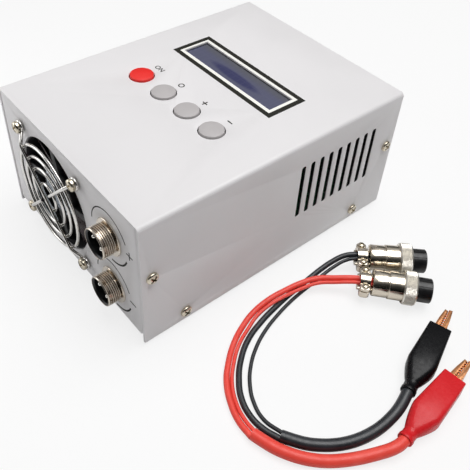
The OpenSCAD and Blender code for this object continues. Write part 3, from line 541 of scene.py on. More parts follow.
# %% Routes
ROUTES = {
    "red_power_wire": [
        (100.9, 29.2, 8.6), (95.3, 24.3, 8.6), (91.8, 20.9, 8.1), (88.2, 17, 7.4), (82, 9.9, 6.3),
        (78.9, 1.9, 5.6), (77.2, -7, 5), (76.1, -16, 4.2), (76.2, -26, 2.2), (78.7, -34.5, 1.5),
        (83.5, -44.1, 1.5), (90, -52.7, 1.5), (96.5, -59, 1.5), (105.3, -64, 1.5), (114, -66.7, 1.6),
        (122.1, -67.2, 2.1)],
    "red_sense_wire": [
        (102.6, 27.2, 8.6), (97, 22.3, 8.6), (93.6, 19.1, 7.9), (90, 15.4, 7), (84.1, 8.6, 5.7),
        (81.4, 1, 5), (79.8, -7.3, 4.7), (78.7, -16, 4.2), (78.8, -25.8, 2.3), (81, -33.1, 1),
        (85.5, -42.9, 1), (91.8, -51.2, 1), (98, -57.2, 1), (106.3, -61.9, 1), (114.5, -64.2, 1.4),
        (121.3, -64.8, 2.5)],
    "black_power_wire": [
        (88.8, 40.2, 8.6), (83.7, 34.8, 8.6), (80.8, 30.5, 7.9), (79, 24.5, 6.4), (77.9, 17, 4.2),
        (77.6, 9.5, 2.2), (77.9, 2, 1.5), (78.6, -6, 1.5), (79.9, -15, 1.5), (82.1, -26, 1.5),
        (85.9, -37.5, 1.5), (92, -47.1, 1.5), (98.8, -54, 1.5), (106.5, -59.1, 1.5),
        (115, -61.4, 1.5), (122.6, -61, 1.6), (130.1, -58.7, 2.1)],
    "black_sense_wire": [
        (90.7, 38.3, 8.6), (85.7, 32.9, 8.6), (83, 28.6, 7.4), (81.4, 22.5, 5.4), (80.6, 15, 3),
        (80.5, 7.5, 1.4), (80.9, 0, 1), (81.9, -8, 1), (83.7, -17, 1), (86.7, -27.5, 1),
        (91, -37, 1), (96.9, -45.5, 1), (103.6, -51.8, 1), (110.9, -56, 1), (119.5, -58, 1.3),
        (128.8, -56.5, 2.5)],
    "red_sleeve": [
        (121.8, -66.2, 2.7), (131.6, -63.1, 2.7), (140.9, -57.8, 2.7), (148.6, -50.5, 2.7),
        (154.9, -41, 2.8), (159.8, -31.5, 3.7), (162, -26.5, 4.7), (162.6, -22, 5.1), (161.8, -14.4, 5.1)],
    "black_sleeve": [
        (129.5, -57.9, 2.7), (138.3, -52, 2.7), (145.6, -43.6, 2.7), (150.2, -34, 2.7),
        (152.4, -23, 3.1), (152, -12, 4.2), (149.7, -3.5, 5.1), (147.6, 3.3, 5.1)],
}
RADII = {"power_wire": 1.4, "sense_wire": 0.9, "sleeve": 2.6}


def with_points_between(points):
    """The points with one more between each two, on an even bend."""
    ends = [2 * points[0] - points[1], *points, 2 * points[-1] - points[-2]]
    fuller = [points[0]]
    for before, here, there, after in zip(ends, ends[1:], ends[2:], ends[3:]):
        fuller += [(9 * (here + there) - before - after) / 16, there]
    return fuller


def length_of(points):
    return sum((b - a).length for a, b in zip(points, points[1:]))


print("routes:", len(ROUTES))

# %% Wires and sleeves


def cord_curve(name, points, radius_mm):
    line = bpy.data.curves.new(name, "CURVE")
    line.dimensions = "3D"
    line.bevel_depth = radius_mm * MM
    line.bevel_resolution = 5
    line.resolution_u = 8
    line.use_fill_caps = True
    spline = line.splines.new("BEZIER")
    spline.bezier_points.add(len(points) - 1)
    for knot, point in zip(spline.bezier_points, points):
        knot.co = point
        knot.handle_left_type = knot.handle_right_type = "AUTO"
    cord = bpy.data.objects.new(name, line)
    bpy.context.scene.collection.objects.link(cord)
    return cord


cords = {}
for cord_name, route in ROUTES.items():
    colour, kind = cord_name.split("_", 1)
    points = [Vector(point) * MM for point in route]
    if kind == "sleeve":
        points = with_points_between(points)
    cord = cord_curve(cord_name + "_cover", points, RADII[kind])
    finished(cord, pvc_red if colour == "red" else pvc_black, stands_for=[cord_name])
    cords[cord_name] = (cord, points)
    print(cord_name, "length in mm:", round(length_of(points) / MM))

# %% [markdown]
# ## Floor, backdrop and light
#
# The photograph has a white ground and soft light from above: the top is the
# brightest side of the case, and the front and the right side get about half
# of its light. One wide lamp overhead does that, a small low one at the front
# left keeps the front from going flat, and the pale floor sends light back up.
#
# Bright metal needs something dark to mirror. The world is white only for the
# camera: in mirrors it is dark near the horizon and on the camera's side, and
# for all other light it is a soft sky.

# %% Floor and backdrop
floor_paint = new_finish("floor_paint", (239, 239, 239), 0.7)
tint(floor_paint, ramp(floor_paint, noise(floor_paint, 160), 0.4, 0.8, 0, 0.3), (236, 236, 237))
grain(floor_paint, noise(floor_paint, 1.5), 0.02, 0.3)


def whiter_for_camera(finish, share):
    """Mixes plain white into what the camera sees of a floor. Its shadows stay, but paler."""
    path = add_node(finish, "ShaderNodeLightPath")
    white = add_node(finish, "ShaderNodeEmission", {"Color": (1, 1, 1, 1), "Strength": 1.0})
    mix = add_node(finish, "ShaderNodeMixShader")
    feed(finish, ramp(finish, path.outputs["Is Camera Ray"], 0, 1, 0, share), mix.inputs[0])
    feed(finish, shader_of(finish).outputs["BSDF"], mix.inputs[1])
    feed(finish, white.outputs["Emission"], mix.inputs[2])
    output = next(n for n in finish.node_tree.nodes if n.type == "OUTPUT_MATERIAL")
    feed(finish, mix.outputs["Shader"], output.inputs["Surface"])


whiter_for_camera(floor_paint, share=0.78)
floor = begin("floor", bpy.ops.mesh.primitive_grid_add, x_subdivisions=4, y_subdivisions=4, size=12)
bpy.ops.object.mode_set(mode="OBJECT")
floor.location.z = -0.05 * MM
floor.data.materials.append(floor_paint)
print("floor width in m:", floor.dimensions.x)

# %% World and lamps


def world_light(towards_camera):
    """White for the camera, soft for diffuse light, and with a dark side for mirrors."""
    world = bpy.data.worlds.new("studio")
    bpy.context.scene.world = world
    world.use_nodes = True
    background = world.node_tree.nodes["Background"]
    background.inputs["Color"].default_value = (1, 1, 1, 1)
    ray = add_node(world, "ShaderNodeLightPath").outputs
    sky = add_node(world, "ShaderNodeTexCoord").outputs["Generated"]

    def along(direction, low, high, start, end):
        reach = maths(world, "DOT_PRODUCT", sky, direction)
        return ramp(world, reach, low, high, start, end, interpolation_type="SMOOTHSTEP")

    def choose(by, if_not, if_so):
        mix = add_node(world, "ShaderNodeMix")
        for value, number in ((by, 0), (if_not, 2), (if_so, 3)):
            feed(world, value, mix.inputs[number])
        return mix.outputs[0]

    upper_light = along(UP, 0.2, 1.0, 0.06, 0.8)
    away_from_camera = along(towards_camera, -0.1, 0.75, 1.0, 0.08)
    mirrored = maths(world, "MULTIPLY", upper_light, away_from_camera, kind="ShaderNodeMath")
    unseen = choose(ray["Is Glossy Ray"], along(UP, 0.1, 0.8, 0.03, 0.24), mirrored)
    feed(world, choose(ray["Is Camera Ray"], unseen, 1.0), background.inputs["Strength"])


def lamp(name, place, aim, size, power):
    light = bpy.data.lights.new(name, "AREA")
    light.size = size
    light.energy = power
    item = bpy.data.objects.new(name, light)
    bpy.context.scene.collection.objects.link(item)
    item.location = place
    item.rotation_euler = (Vector(aim) - Vector(place)).to_track_quat("-Z", "Y").to_euler()


world_light((0.77, -0.64, 0.0))
lamp("overhead_lamp", (0.15, 0.17, 1.1), (0.06, 0, 0), 0.9, 11.2)
lamp("front_lamp", (-0.2, -0.19, 0.11), (-0.04, -0.07, 0.035), 0.15, 0.15)
bpy.context.scene.view_settings.view_transform = "Standard"

# %% [markdown]
# ## Case
#
# Two sheets make the case: a chassis with the floor and both end panels, and
# a cover with the top and both sides. Their CAD shapes are nearly right, so
# welded copies of them are used. A fine bevel along the cut edges catches the
# light as the thick paint on real sheet does.
#
# Two things are moved to where the photograph has them, by their corners: the
# ends of the display's cut-out, and the sides of the nine slots, which are
# slightly wider than in CAD. The inside of the sheets is darkened with painted
# shade, which begins just behind the mouth of each slot, so that the slots and
# the cut-out's wall look shaded.

# %% Case sheets
cover_low, case_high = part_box("cover")
# The cover's lower edge hangs below the chassis floor, where the inside begins.
case_low = Vector((cover_low.x, cover_low.y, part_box("chassis")[0].z))
front, side, top = case_low.y / MM, case_high.x / MM, case_high.z / MM
SLOTS, SLOT_PITCH, FIRST_SLOT_Y, SLOT_MID_Z = 9, 6.1, front + 90.1, 44.5
SLOT_LENGTH, CAD_SLOT_WIDTH, SLOT_WIDTH = 31.9, 2.4, 2.85
CAD_WINDOW_ENDS = (-33.95, 31.45)
WINDOW = (-35.6, 30.75, 16.9, 31.9)


def deep_inside(finish, low, high, skin_mm):
    """1 for what lies deeper in a box than skin_mm, given for each direction."""
    from_middle = maths(finish, "SUBTRACT", on_piece(finish), (low + high) / 2)
    inner_half = (high - low) / 2 - Vector(skin_mm) * MM
    parts = add_node(finish, "ShaderNodeSeparateXYZ")
    beyond = maths(finish, "SUBTRACT", maths(finish, "ABSOLUTE", from_middle), inner_half)
    feed(finish, beyond, parts.inputs[0])
    outermost = parts.outputs[0]
    for part in parts.outputs[1:]:
        outermost = maths(finish, "MAXIMUM", outermost, part, kind="ShaderNodeMath")
    return ramp(finish, outermost, 0.05 * MM, -0.05 * MM)


def within(value, middle_mm, miss_mm):
    return abs(value / MM - middle_mm) < miss_mm


def move_window(piece):
    """Moves both ends of the display's cut-out."""
    middle_y, half_y = (WINDOW[2] + WINDOW[3]) / 2, (WINDOW[3] - WINDOW[2]) / 2
    for cad_end, end in zip(CAD_WINDOW_ENDS, WINDOW):
        pick(piece, "VERT", lambda corner: within(corner.co.x, cad_end, 0.1)
             and within(corner.co.y, middle_y, half_y + 0.3) and corner.co.z / MM > top - 4)
        bpy.ops.transform.translate(value=((end - cad_end) * MM, 0, 0))


def open_slots(piece):
    """Makes the cover's slots wider, each round its own middle."""
    for number in range(SLOTS):
        middle_y = FIRST_SLOT_Y + number * SLOT_PITCH
        pick(piece, "VERT", lambda corner: within(corner.co.y, middle_y, CAD_SLOT_WIDTH / 2 + 0.1)
             and within(corner.co.z, SLOT_MID_Z, SLOT_LENGTH / 2 + 0.1) and abs(corner.co.x) / MM > side - 2)
        wider = (1, SLOT_WIDTH / CAD_SLOT_WIDTH, 1)
        bpy.ops.transform.resize(value=wider, center_override=(0, middle_y * MM, 0))


def open_cover(piece):
    move_window(piece)
    open_slots(piece)


# Painted shade: the sheets' inside is darkened from just behind each slot's mouth, so the slots and the
# display's cut-out look shaded.
tint(case_paint, deep_inside(case_paint, case_low, case_high, (0.3, 1.0, 1.0)), (34, 34, 35))
refined("cover", "cover_sheet", case_paint, 0.18, reshape=open_cover)
refined("chassis", "chassis_sheet", case_paint, 0.18)
print("case in mm:", [round(x / MM, 1) for x in case_high - cover_low])

# %% Places on the case


def on_front(x_mm, z_mm, out_mm=0.0):
    """A place on the front panel: local Z points out of it, local Y up."""
    return moved(x_mm, front - out_mm, z_mm) @ rotated(90, "X")


def on_side(sign, y_mm, z_mm):
    """A place on a side of the cover: local Z points out of it."""
    return moved(sign * side, y_mm, z_mm) @ rotated(sign * 90, "Y")


def on_top(x_mm, y_mm, up_mm=0.0):
    return moved(x_mm, y_mm, top + up_mm)


print("front, right side and top in mm:", round(front, 1), round(side, 1), round(top, 1))

# %% [markdown]
# ## Screws
#
# All screws here have a low round head with a cross recess. The head is
# turned, and the recess is cut with a cross that starts as a cube: its four
# sides are pulled out, and its lower end is made smaller, as a screwdriver's
# tip is. One screw is modelled for each size, and its copies are joined.

# %% Screws


def cross_cutter(reach_mm, width_mm, depth_mm):
    width = width_mm * MM
    cutter = begin("cross_cutter", bpy.ops.mesh.primitive_cube_add, size=1)
    bpy.ops.transform.resize(value=(width, width, depth_mm * MM))
    pick(cutter, "FACE", lambda face: abs(face.normal.z) < 0.5)
    bpy.ops.mesh.extrude_faces_move(TRANSFORM_OT_shrink_fatten={"value": (reach_mm - width_mm / 2) * MM})
    pick(cutter, "VERT", lambda corner: corner.co.z < 0)
    bpy.ops.transform.resize(value=(0.75, 0.75, 1), center_override=(0, 0, 0))
    return close_mesh(cutter)


def cut(piece, cutter):
    apply_modifier(piece, "BOOLEAN", operation="DIFFERENCE", object=cutter, solver="EXACT")
    bpy.data.objects.remove(cutter)


def pan_screw(name, head_mm, height_mm, shank_mm, length_mm):
    """A screw that stands with its head on z = 0 and its shank below."""
    dome = [(head_mm * math.cos(a), height_mm * (0.45 + 0.55 * math.sin(a)))
            for a in [math.radians(d) for d in (0, 14, 28, 42, 56, 70, 82)]]
    section = [(0, -length_mm), (shank_mm * 0.7, -length_mm), (shank_mm, -length_mm + 0.6), (shank_mm, 0),
               (head_mm * 0.97, 0), (head_mm, 0.12), *dome, (0, height_mm)]
    screw = turned(name, section, 32)
    cutter = cross_cutter(head_mm * 0.8, head_mm * 0.34, height_mm * 1.5)
    put(cutter, moved(0, 0, height_mm * 1.02) @ rotated(45, "Z"))
    cut(screw, cutter)
    smooth(screw, 30)
    return screw


UPPER_SCREW = (5.2, 43.8)
LOWER_SCREW = (22.5, 8.2)
M3_SHANK = 1.45
side_places = [
    on_side(sign, y_mm, z_mm)
    for sign in (-1, 1)
    for inset_mm, z_mm in (UPPER_SCREW, LOWER_SCREW)
    for y_mm in (front + inset_mm, case_high.y / MM - inset_mm)]
side_screw = pan_screw("side_screw", head_mm=2.9, height_mm=1.9, shank_mm=M3_SHANK, length_mm=6)
cover_screws = repeated(side_screw, "cover_screw_set", side_places)
finished(cover_screws, screw_steel, stands_for=["cover_screws"])
print("cover screws:", len(side_places), "faces:", len(cover_screws.data.polygons))

# %% [markdown]
# ## Feet
#
# Four stick-on feet carry the case. Each is a low cone of rubber with a
# hollow in its face, so it is turned from its section like the screws.

# %% Feet
FOOT_R = 6
foot_low, foot_high = [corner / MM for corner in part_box("feet")]
foot_section = [
    (0, 1.2), (1.6, 1.2), (2, 0.9), (2, 0.15), (2.2, 0), (FOOT_R - 1.2, 0), (FOOT_R - 0.75, 0.3),
    (FOOT_R, 2), (FOOT_R, foot_high.z), (0, foot_high.z)]
foot_places = [
    moved(x_mm, y_mm, 0)
    for x_mm in (foot_low.x + FOOT_R, foot_high.x - FOOT_R)
    for y_mm in (foot_low.y + FOOT_R, foot_high.y - FOOT_R)]
feet = repeated(turned("foot", foot_section, 40), "rubber_feet", foot_places)
finished(feet, foot_rubber, stands_for=["feet"])
print("feet:", len(foot_places), "height in mm:", round(foot_high.z, 1))

# %% [markdown]
# ## Printing on the case
#
# Ink lies a few hundredths of a millimetre over the paint. The display's
# border is a plane whose middle is inset and taken out, and arcs are thin
# spun strips. The switch has the word ON, and all else is plain signs.

# %% Printing helpers
INK_MM = 0.04
ink_dark = moulded("ink_dark", (26, 25, 18), 0.6, (44, 42, 34), specular_ior_level=0.3)
ink_white = moulded("ink_white", (250, 249, 243), 0.5, (244, 243, 238))


def thicken(piece):
    """Gives a flat piece in edit mode the thickness of ink, upwards."""
    bpy.ops.mesh.select_all(action="SELECT")
    bpy.ops.mesh.extrude_region_move(TRANSFORM_OT_translate={"value": (0, 0, INK_MM * MM)})
    return close_mesh(piece)


def frame_print(name, outer, inner):
    """A printed frame between two rectangles, each given as x0, x1, y0, y1.

    The inset is 1 mm wide all round at first, and is then made the inner one.
    """
    x0, x1, y0, y1 = outer
    left, right, near, far = inner
    piece = begin(name, bpy.ops.mesh.primitive_plane_add, size=1)
    bpy.ops.transform.resize(value=((x1 - x0) * MM, (y1 - y0) * MM, 1))
    bpy.ops.mesh.inset(thickness=MM)
    bpy.ops.transform.resize(value=((right - left) / (x1 - x0 - 2), (far - near) / (y1 - y0 - 2), 1))
    aside, away = (left + right - x0 - x1) / 2, (near + far - y0 - y1) / 2
    bpy.ops.transform.translate(value=(aside * MM, away * MM, 0))
    bpy.ops.mesh.delete(type="FACE")
    thicken(piece)
    return put(piece, on_top((x0 + x1) / 2, (y0 + y1) / 2))


def arc_print(name, radius_mm, line_mm, start, end):
    """A strip from start to end, in degrees, with a step for every four."""
    piece = chain(name, [(radius_mm - line_mm / 2, 0, 0), (radius_mm + line_mm / 2, 0, 0)])
    steps = int((end - start) / 4)
    bpy.ops.mesh.spin(steps=steps, angle=math.radians(start - end), center=(0, 0, 0), axis=UP)
    return put(thicken(piece), rotated(start, "Z"))


def bar(name, width_mm, height_mm):
    piece = begin(name, bpy.ops.mesh.primitive_plane_add, size=1)
    bpy.ops.transform.resize(value=(width_mm * MM, height_mm * MM, 1))
    return thicken(piece)


def sign(name, size_mm, line_mm, plus):
    bars = [bar(name, size_mm, line_mm)]
    if plus:
        half_mm = (size_mm - line_mm) / 2
        away_mm = (line_mm + half_mm) / 2
        bars += [put(bar(name, line_mm, half_mm), moved(0, way * away_mm, 0)) for way in (-1, 1)]
    return merged(bars, name)


def lettering(name, words, size_mm):
    clear_selection()
    bpy.ops.object.text_add()
    text = bpy.context.object
    text.data.body = words
    text.data.size = size_mm * MM
    text.data.align_x, text.data.align_y = "CENTER", "CENTER"
    text.data.resolution_u = 6
    text.data.extrude = INK_MM * MM / 2
    text.data.offset = 0.05 * MM
    bpy.ops.object.convert(target="MESH")
    piece = bpy.context.object
    piece.name = piece.data.name = name
    return piece


print("ink thickness in mm:", INK_MM)

# %% Printing on the case
BORDER = (-39.5, 35.4, 12.3, 36.2)
RIM = (-36.9, 32.6, 14.9, 33.6)
RIM_END = (WINDOW[0] - 0.2, WINDOW[1] + 0.2, WINDOW[2] - 0.2, WINDOW[3] + 0.2)
finished(frame_print("window_border", BORDER, RIM), ink_dark)
finished(frame_print("window_rim", RIM, RIM_END), ink_white)

key_places = {key: middle_of("button_" + key) for key in ("on", "set", "increase", "decrease")}
LEGEND_AWAY, OVER_PAINT = 10.6, 0.01
legends = {
    "on": lettering("legend_on", "ON", 3.9),
    "set": arc_print("legend_set", 1.35, 0.55, 0, 360),
    "increase": sign("legend_increase", 3.2, 0.62, True),
    "decrease": sign("legend_decrease", 3.2, 0.62, False)}
for key, legend in legends.items():
    place = key_places[key]
    put(legend, on_top(place.x, place.y + LEGEND_AWAY, OVER_PAINT))
    finished(legend, ink_dark)

sockets = {polarity: middle_of(polarity + "_socket") for polarity in ("positive", "negative")}
for polarity, place in sockets.items():
    marks = [
        arc_print(polarity + "_arc", 13.8, 0.6, 24, 176),
        arc_print(polarity + "_hook", 13.5, 0.9, -88, -20),
        put(sign(polarity + "_sign", 4.6, 0.65, polarity == "positive"), moved(15.2, 1, 0))]
    print_round = put(merged(marks, polarity + "_socket_print"), on_front(place.x, place.z, OVER_PAINT))
    finished(print_round, ink_dark)
print("printed pieces:", 2 + len(legends) + len(sockets))

# %% [markdown]
# ## Fan
#
# The fan is the piece that took most care in CAD: a square frame with a
# motor plate on four swept struts, and a rotor with seven twisted blades. Its
# shapes are kept, and their edges are softened as moulded plastic has them.
# The motor plate has a plain round foil label, with a ring and a dot that are
# drawn by their distance from the fan's axis.

# %% Fan frame, rotor and motor


def from_axis(finish, centre):
    """Distance from the line along Y that goes through centre, in metres."""
    away = maths(finish, "SUBTRACT", on_piece(finish), centre)
    return maths(finish, "LENGTH", maths(finish, "MULTIPLY", away, (1, 0, 1)))


def band(finish, value, middle_mm, half_width_mm):
    """1 where the value is within half_width_mm of middle_mm, and 0 elsewhere."""
    return maths(finish, "COMPARE", value, middle_mm * MM, half_width_mm * MM, kind="ShaderNodeMath")


refined("fan_frame", "fan_housing", fan_plastic, 0.25)
refined("fan_rotor", "fan_wheel", blade_plastic, 0.2, "fan", 40)
fan = middle_of("fan_frame")
LABEL_R, LABEL_FACE, LABEL_RING, LABEL_DOT = 12, -2.1, 10.2, 2.4
foil = moulded("label_foil", (216, 226, 238), 0.28, (240, 244, 248), metallic=0.3)
from_hub = from_axis(foil, fan * MM)
tint(foil, band(foil, from_hub, LABEL_RING, 0.35), (58, 62, 72))
tint(foil, band(foil, from_hub, 0, LABEL_DOT), (84, 90, 102))
label_section = [(0, 0), (LABEL_R - 0.1, 0), (LABEL_R, 0.06), (LABEL_R - 0.1, 0.12), (0, 0.14)]
label = put(turned("motor_label", label_section), on_front(fan.x, fan.z, LABEL_FACE))
finished(label, foil)
print("fan centre in mm:", round(fan.x, 1), round(fan.z, 1))

# %% [markdown]
# ## Finger guard
#
# The guard is welded from drawn wire and chromed: four rings, one straight
# arm right across, two short ones, and an eyelet at each screw. A ring is a
# torus primitive. An arm is a chain of points whose corners are rounded and
# which then gets the wire's thickness, as the real wire is bent.

# %% Finger guard
GUARD_RINGS = (26.1, 20.3, 14.5, 6.8)
RING_WIRE, ARM_WIRE, ARM_BEND = 0.8, 0.85, 1.6
RING_OUT, ARM_OUT, EYELET_OUT = 3.0, 4.6, 0.95
BEND_AT, EYELET_AT, EYELET_R = 27.0, 35.36, 2.5


def wire(name, points_mm, radius_mm, bend_mm):
    """A bent rod: a chain of edges with rounded corners, given a thickness."""
    piece = chain(name, points_mm)
    pick(piece, "VERT", lambda corner: len(corner.link_edges) == 2)
    bpy.ops.mesh.bevel(affect="VERTICES", offset=bend_mm * MM, segments=5)
    bpy.ops.object.mode_set(mode="OBJECT")
    bpy.ops.object.convert(target="CURVE")
    line = bpy.context.object.data
    line.bevel_depth = radius_mm * MM
    line.bevel_resolution = 4
    line.use_fill_caps = True
    bpy.ops.object.convert(target="MESH")
    rod = bpy.context.object
    rod.name = rod.data.name = name
    bpy.ops.object.mode_set(mode="EDIT")
    close_mesh(rod)
    smooth(rod, 50)
    return rod


def torus(name, ring_mm, wire_mm, matrix, sides=72):
    piece = begin(name, bpy.ops.mesh.primitive_torus_add, major_segments=sides, minor_segments=14,
                  major_radius=ring_mm * MM, minor_radius=wire_mm * MM)
    close_mesh(piece)
    smooth(piece, 180)
    return put(piece, matrix)


def spoke(angle, distance, out_mm):
    return (distance * math.cos(math.radians(angle)), distance * math.sin(math.radians(angle)), out_mm)


def arm_end(angle):
    return [spoke(angle, EYELET_AT - EYELET_R + 0.3, EYELET_OUT), spoke(angle, BEND_AT, ARM_OUT)]


parts = [torus("guard", ring_mm, RING_WIRE, moved(0, 0, RING_OUT)) for ring_mm in GUARD_RINGS]
parts.append(wire("guard", arm_end(135) + arm_end(315)[::-1], ARM_WIRE, ARM_BEND))
for angle in (45, 225):
    inner_end = spoke(angle, GUARD_RINGS[-1] - 0.1, ARM_OUT)
    parts.append(wire("guard", [*arm_end(angle), inner_end], ARM_WIRE, ARM_BEND))
for angle in (45, 135, 225, 315):
    parts.append(torus("guard", EYELET_R, ARM_WIRE, moved(*spoke(angle, EYELET_AT, EYELET_OUT)), 40))
guard = put(merged(parts, "finger_guard"), on_front(fan.x, fan.z))
finished(guard, guard_chrome, stands_for=["fan_guard"])
print("guard faces:", len(guard.data.polygons))

# %% [markdown]
# ## Fan screws and nuts
#
# Four long screws hold the guard and the fan, each with a nut at the fan's
# back. A nut starts as a cylinder with six sides. A boolean with a round rod
# bores it, and a bevel stands for the chamfer of its faces. The wide nuts of
# the sockets, behind the panel, are made by the same helper further on.

# %% Fan screws and nuts
HALF_PITCH, SCREW_OUT, FAN_NUT_OUT, NUT_H = 25, 1.9, -17.4, 2.4


def hex_nut(name, corner_mm, bore_mm):
    nut = begin(name, bpy.ops.mesh.primitive_cylinder_add, vertices=6, radius=corner_mm * MM,
                depth=NUT_H * MM, end_fill_type="NGON")
    close_mesh(nut)
    bore = begin("bore", bpy.ops.mesh.primitive_cylinder_add, vertices=32, radius=bore_mm * MM,
                 depth=3 * NUT_H * MM)
    cut(nut, close_mesh(bore))
    soften(nut, 0.15)
    smooth(nut)
    return put(nut, rotated(30, "Z"))


fan_corners = [(fan.x + x, fan.z + z) for x in (-HALF_PITCH, HALF_PITCH) for z in (-HALF_PITCH, HALF_PITCH)]
fan_screw = pan_screw("fan_screw", head_mm=3, height_mm=2.3, shank_mm=M3_SHANK, length_mm=21.3)
fan_screws = repeated(fan_screw, "fan_screw_set", [on_front(x, z, SCREW_OUT) for x, z in fan_corners])
finished(fan_screws, screw_steel, stands_for=["fan_screws"])
nut_places = [on_front(x, z, FAN_NUT_OUT) for x, z in fan_corners]
fan_nuts = repeated(hex_nut("nut", 3.15, M3_SHANK + 0.02), "fan_nut_set", nut_places)
finished(fan_nuts, screw_steel, stands_for=["fan_nuts"])
print("fan screws and nuts:", len(fan_corners))

# %% [markdown]
# ## Sockets
#
# Each socket is a nickel shell with a fine thread, a black insert and two
# pins. A thread could be a texture, but its crests show against the light, so
# it is real: a ridge with a flat crest is carried round and forward by the
# Screw modifier, and its valleys are darkened with painted shade. The shell
# inside it is turned.

# %% Thread and shell
SOCKET_R, SOCKET_REACH, SOCKET_BORE, FLANGE_R, SOCKET_TAIL = 7.45, 7.4, 6.3, 9.1, 10
THREAD_PITCH, THREAD_ROOT = 0.92, SOCKET_R - 0.55
PIN_SPREAD, PIN_TURN = 3.2, -27


def thread(name, low_mm, high_mm):
    """A ridge that winds up round local Z."""
    half = THREAD_PITCH * 0.4
    inside = THREAD_ROOT - 0.15
    outline = [(inside, -half), (SOCKET_R, -0.4 * half), (SOCKET_R, 0.4 * half), (inside, half)]
    ridge = chain(name, [(x_mm, 0, low_mm + z_mm) for x_mm, z_mm in outline])
    bpy.ops.mesh.edge_face_add()
    bpy.ops.object.mode_set(mode="OBJECT")
    turns = int((high_mm - low_mm) / THREAD_PITCH)
    apply_modifier(ridge, "SCREW", axis="Z", angle=math.tau, screw_offset=THREAD_PITCH * MM,
                   iterations=turns, steps=48, render_steps=48, use_merge_vertices=False)
    bpy.ops.object.mode_set(mode="EDIT")
    pick(ridge, "EDGE", lambda edge: len(edge.link_faces) == 1)
    bpy.ops.mesh.edge_face_add()
    close_mesh(ridge)
    smooth(ridge, 20)
    return ridge


def thread_nickel(name, centre):
    """Nickel whose thread has valleys darkened with painted shade."""
    plate = metal(name, (220, 211, 198), 0.2, (184, 170, 150))
    valley_shade = band(plate, from_axis(plate, centre), THREAD_ROOT + 0.05, 0.2)
    # Painted shade in the thread's valleys.
    tint(plate, ramp(plate, valley_shade, 0, 1, 0, 0.6), (140, 120, 102))
    return plate


def socket_shell(name):
    """The shell, with z = 0 in the panel's front face."""
    neck, lip = THREAD_ROOT - 0.25, SOCKET_REACH - 0.35
    section = [
        (SOCKET_BORE, -SOCKET_TAIL), (THREAD_ROOT, -SOCKET_TAIL), (THREAD_ROOT, 0), (FLANGE_R - 0.12, 0),
        (FLANGE_R, 0.12), (FLANGE_R, 0.6), (FLANGE_R - 0.2, 0.8), (THREAD_ROOT + 0.1, 0.8), (neck, 1.0),
        (neck, 1.3), (THREAD_ROOT, 1.5), (THREAD_ROOT, lip - 0.6), (SOCKET_R - 0.08, lip - 0.35),
        (SOCKET_R - 0.05, lip), (SOCKET_R - 0.3, SOCKET_REACH), (SOCKET_R - 0.55, SOCKET_REACH),
        (SOCKET_BORE, SOCKET_REACH - 0.9), (SOCKET_BORE, -SOCKET_TAIL)]
    guide = begin("guide", bpy.ops.mesh.primitive_cube_add, size=1)
    bpy.ops.transform.resize(value=(1 * MM, 1.4 * MM, (SOCKET_REACH - 1.6) * MM))
    bpy.ops.mesh.bevel(offset=0.2 * MM, segments=2)
    put(close_mesh(guide), rotated(90 + PIN_TURN, "Z") @ moved(SOCKET_BORE - 0.2, 0, SOCKET_REACH / 2 - 0.6))
    rear = thread("rear", -9.4, -0.8)
    ridge = thread("ridge", 1.5, SOCKET_REACH - 0.6)
    return merged([turned(name, section, 72), ridge, rear, guide], name)


socket_places = []
for polarity, centre in sockets.items():
    place = on_front(centre.x, centre.z)
    socket_places.append(place)
    shell = put(socket_shell(polarity + "_socket_shell"), place)
    nickel = thread_nickel(polarity + "_thread_nickel", centre * MM)
    finished(shell, nickel, stands_for=[polarity + "_socket"])
print("socket faces:", len(shell.data.polygons))

# %% Insert, pins and panel nuts
SHEET = 1.2
LINER_R = SOCKET_BORE - 0.14
insert_section = [
    (0, -12), (6, -12), (SOCKET_BORE, -11.6), (SOCKET_BORE, 0), (SOCKET_BORE - 0.01, SOCKET_REACH - 1.0),
    (SOCKET_R - 0.61, SOCKET_REACH - 0.03), (LINER_R, SOCKET_REACH - 0.8), (LINER_R, 0.2), (5.9, 0), (0, 0)]
boss_section = [(0, -0.5), (2, -0.5), (2, 0.7), (1.7, 0.9), (0, 0.9)]
pin_section = [
    (0, -15.4), (0.7, -15.4), (1, -15), (1, SOCKET_REACH - 2), (0.92, SOCKET_REACH - 1.6),
    (0.7, SOCKET_REACH - 1.28), (0.38, SOCKET_REACH - 1.07), (0, SOCKET_REACH - 1)]
pin_steps = [rotated(PIN_TURN, "Z") @ moved(way * PIN_SPREAD, 0, 0) for way in (-1, 1)]
insert = turned("insert", insert_section)
bosses = [put(turned("boss", boss_section, 32), step) for step in pin_steps]
inserts = repeated(merged([insert, *bosses], "insert"), "socket_insulators", socket_places)
finished(inserts, insulator_black, stands_for=["socket_inserts"])
pin_places = [place @ step for place in socket_places for step in pin_steps]
pins = repeated(turned("pin", pin_section, 32), "contact_pins", pin_places)
finished(pins, contact_silver, stands_for=["socket_pins"])
behind_panel = moved(0, 0, -SHEET - NUT_H / 2)
panel_nuts = repeated(hex_nut("nut", 10.4, SOCKET_R + 0.05), "panel_nut_set",
                      [place @ behind_panel for place in socket_places])
finished(panel_nuts, nickel_plate, stands_for=["socket_nuts"])
print("contact pins:", len(pin_places), "panel nuts:", len(socket_places))

# %% [markdown]
# ## Display
#
# Behind the cut-out is a character display that is switched off: blue-grey
# glass in a black metal bezel. The bezel is the CAD shape with its window
# moved as the cover's is, and the glass lies right under the cover sheet, so
# that it fills the window. Two rows of sixteen cells show faintly on it, as a
# pattern in the glass. Its middle is bluer and darker than its ends. A greyer
# band towards its far edge is a painted reflection of the cut-out's wall.

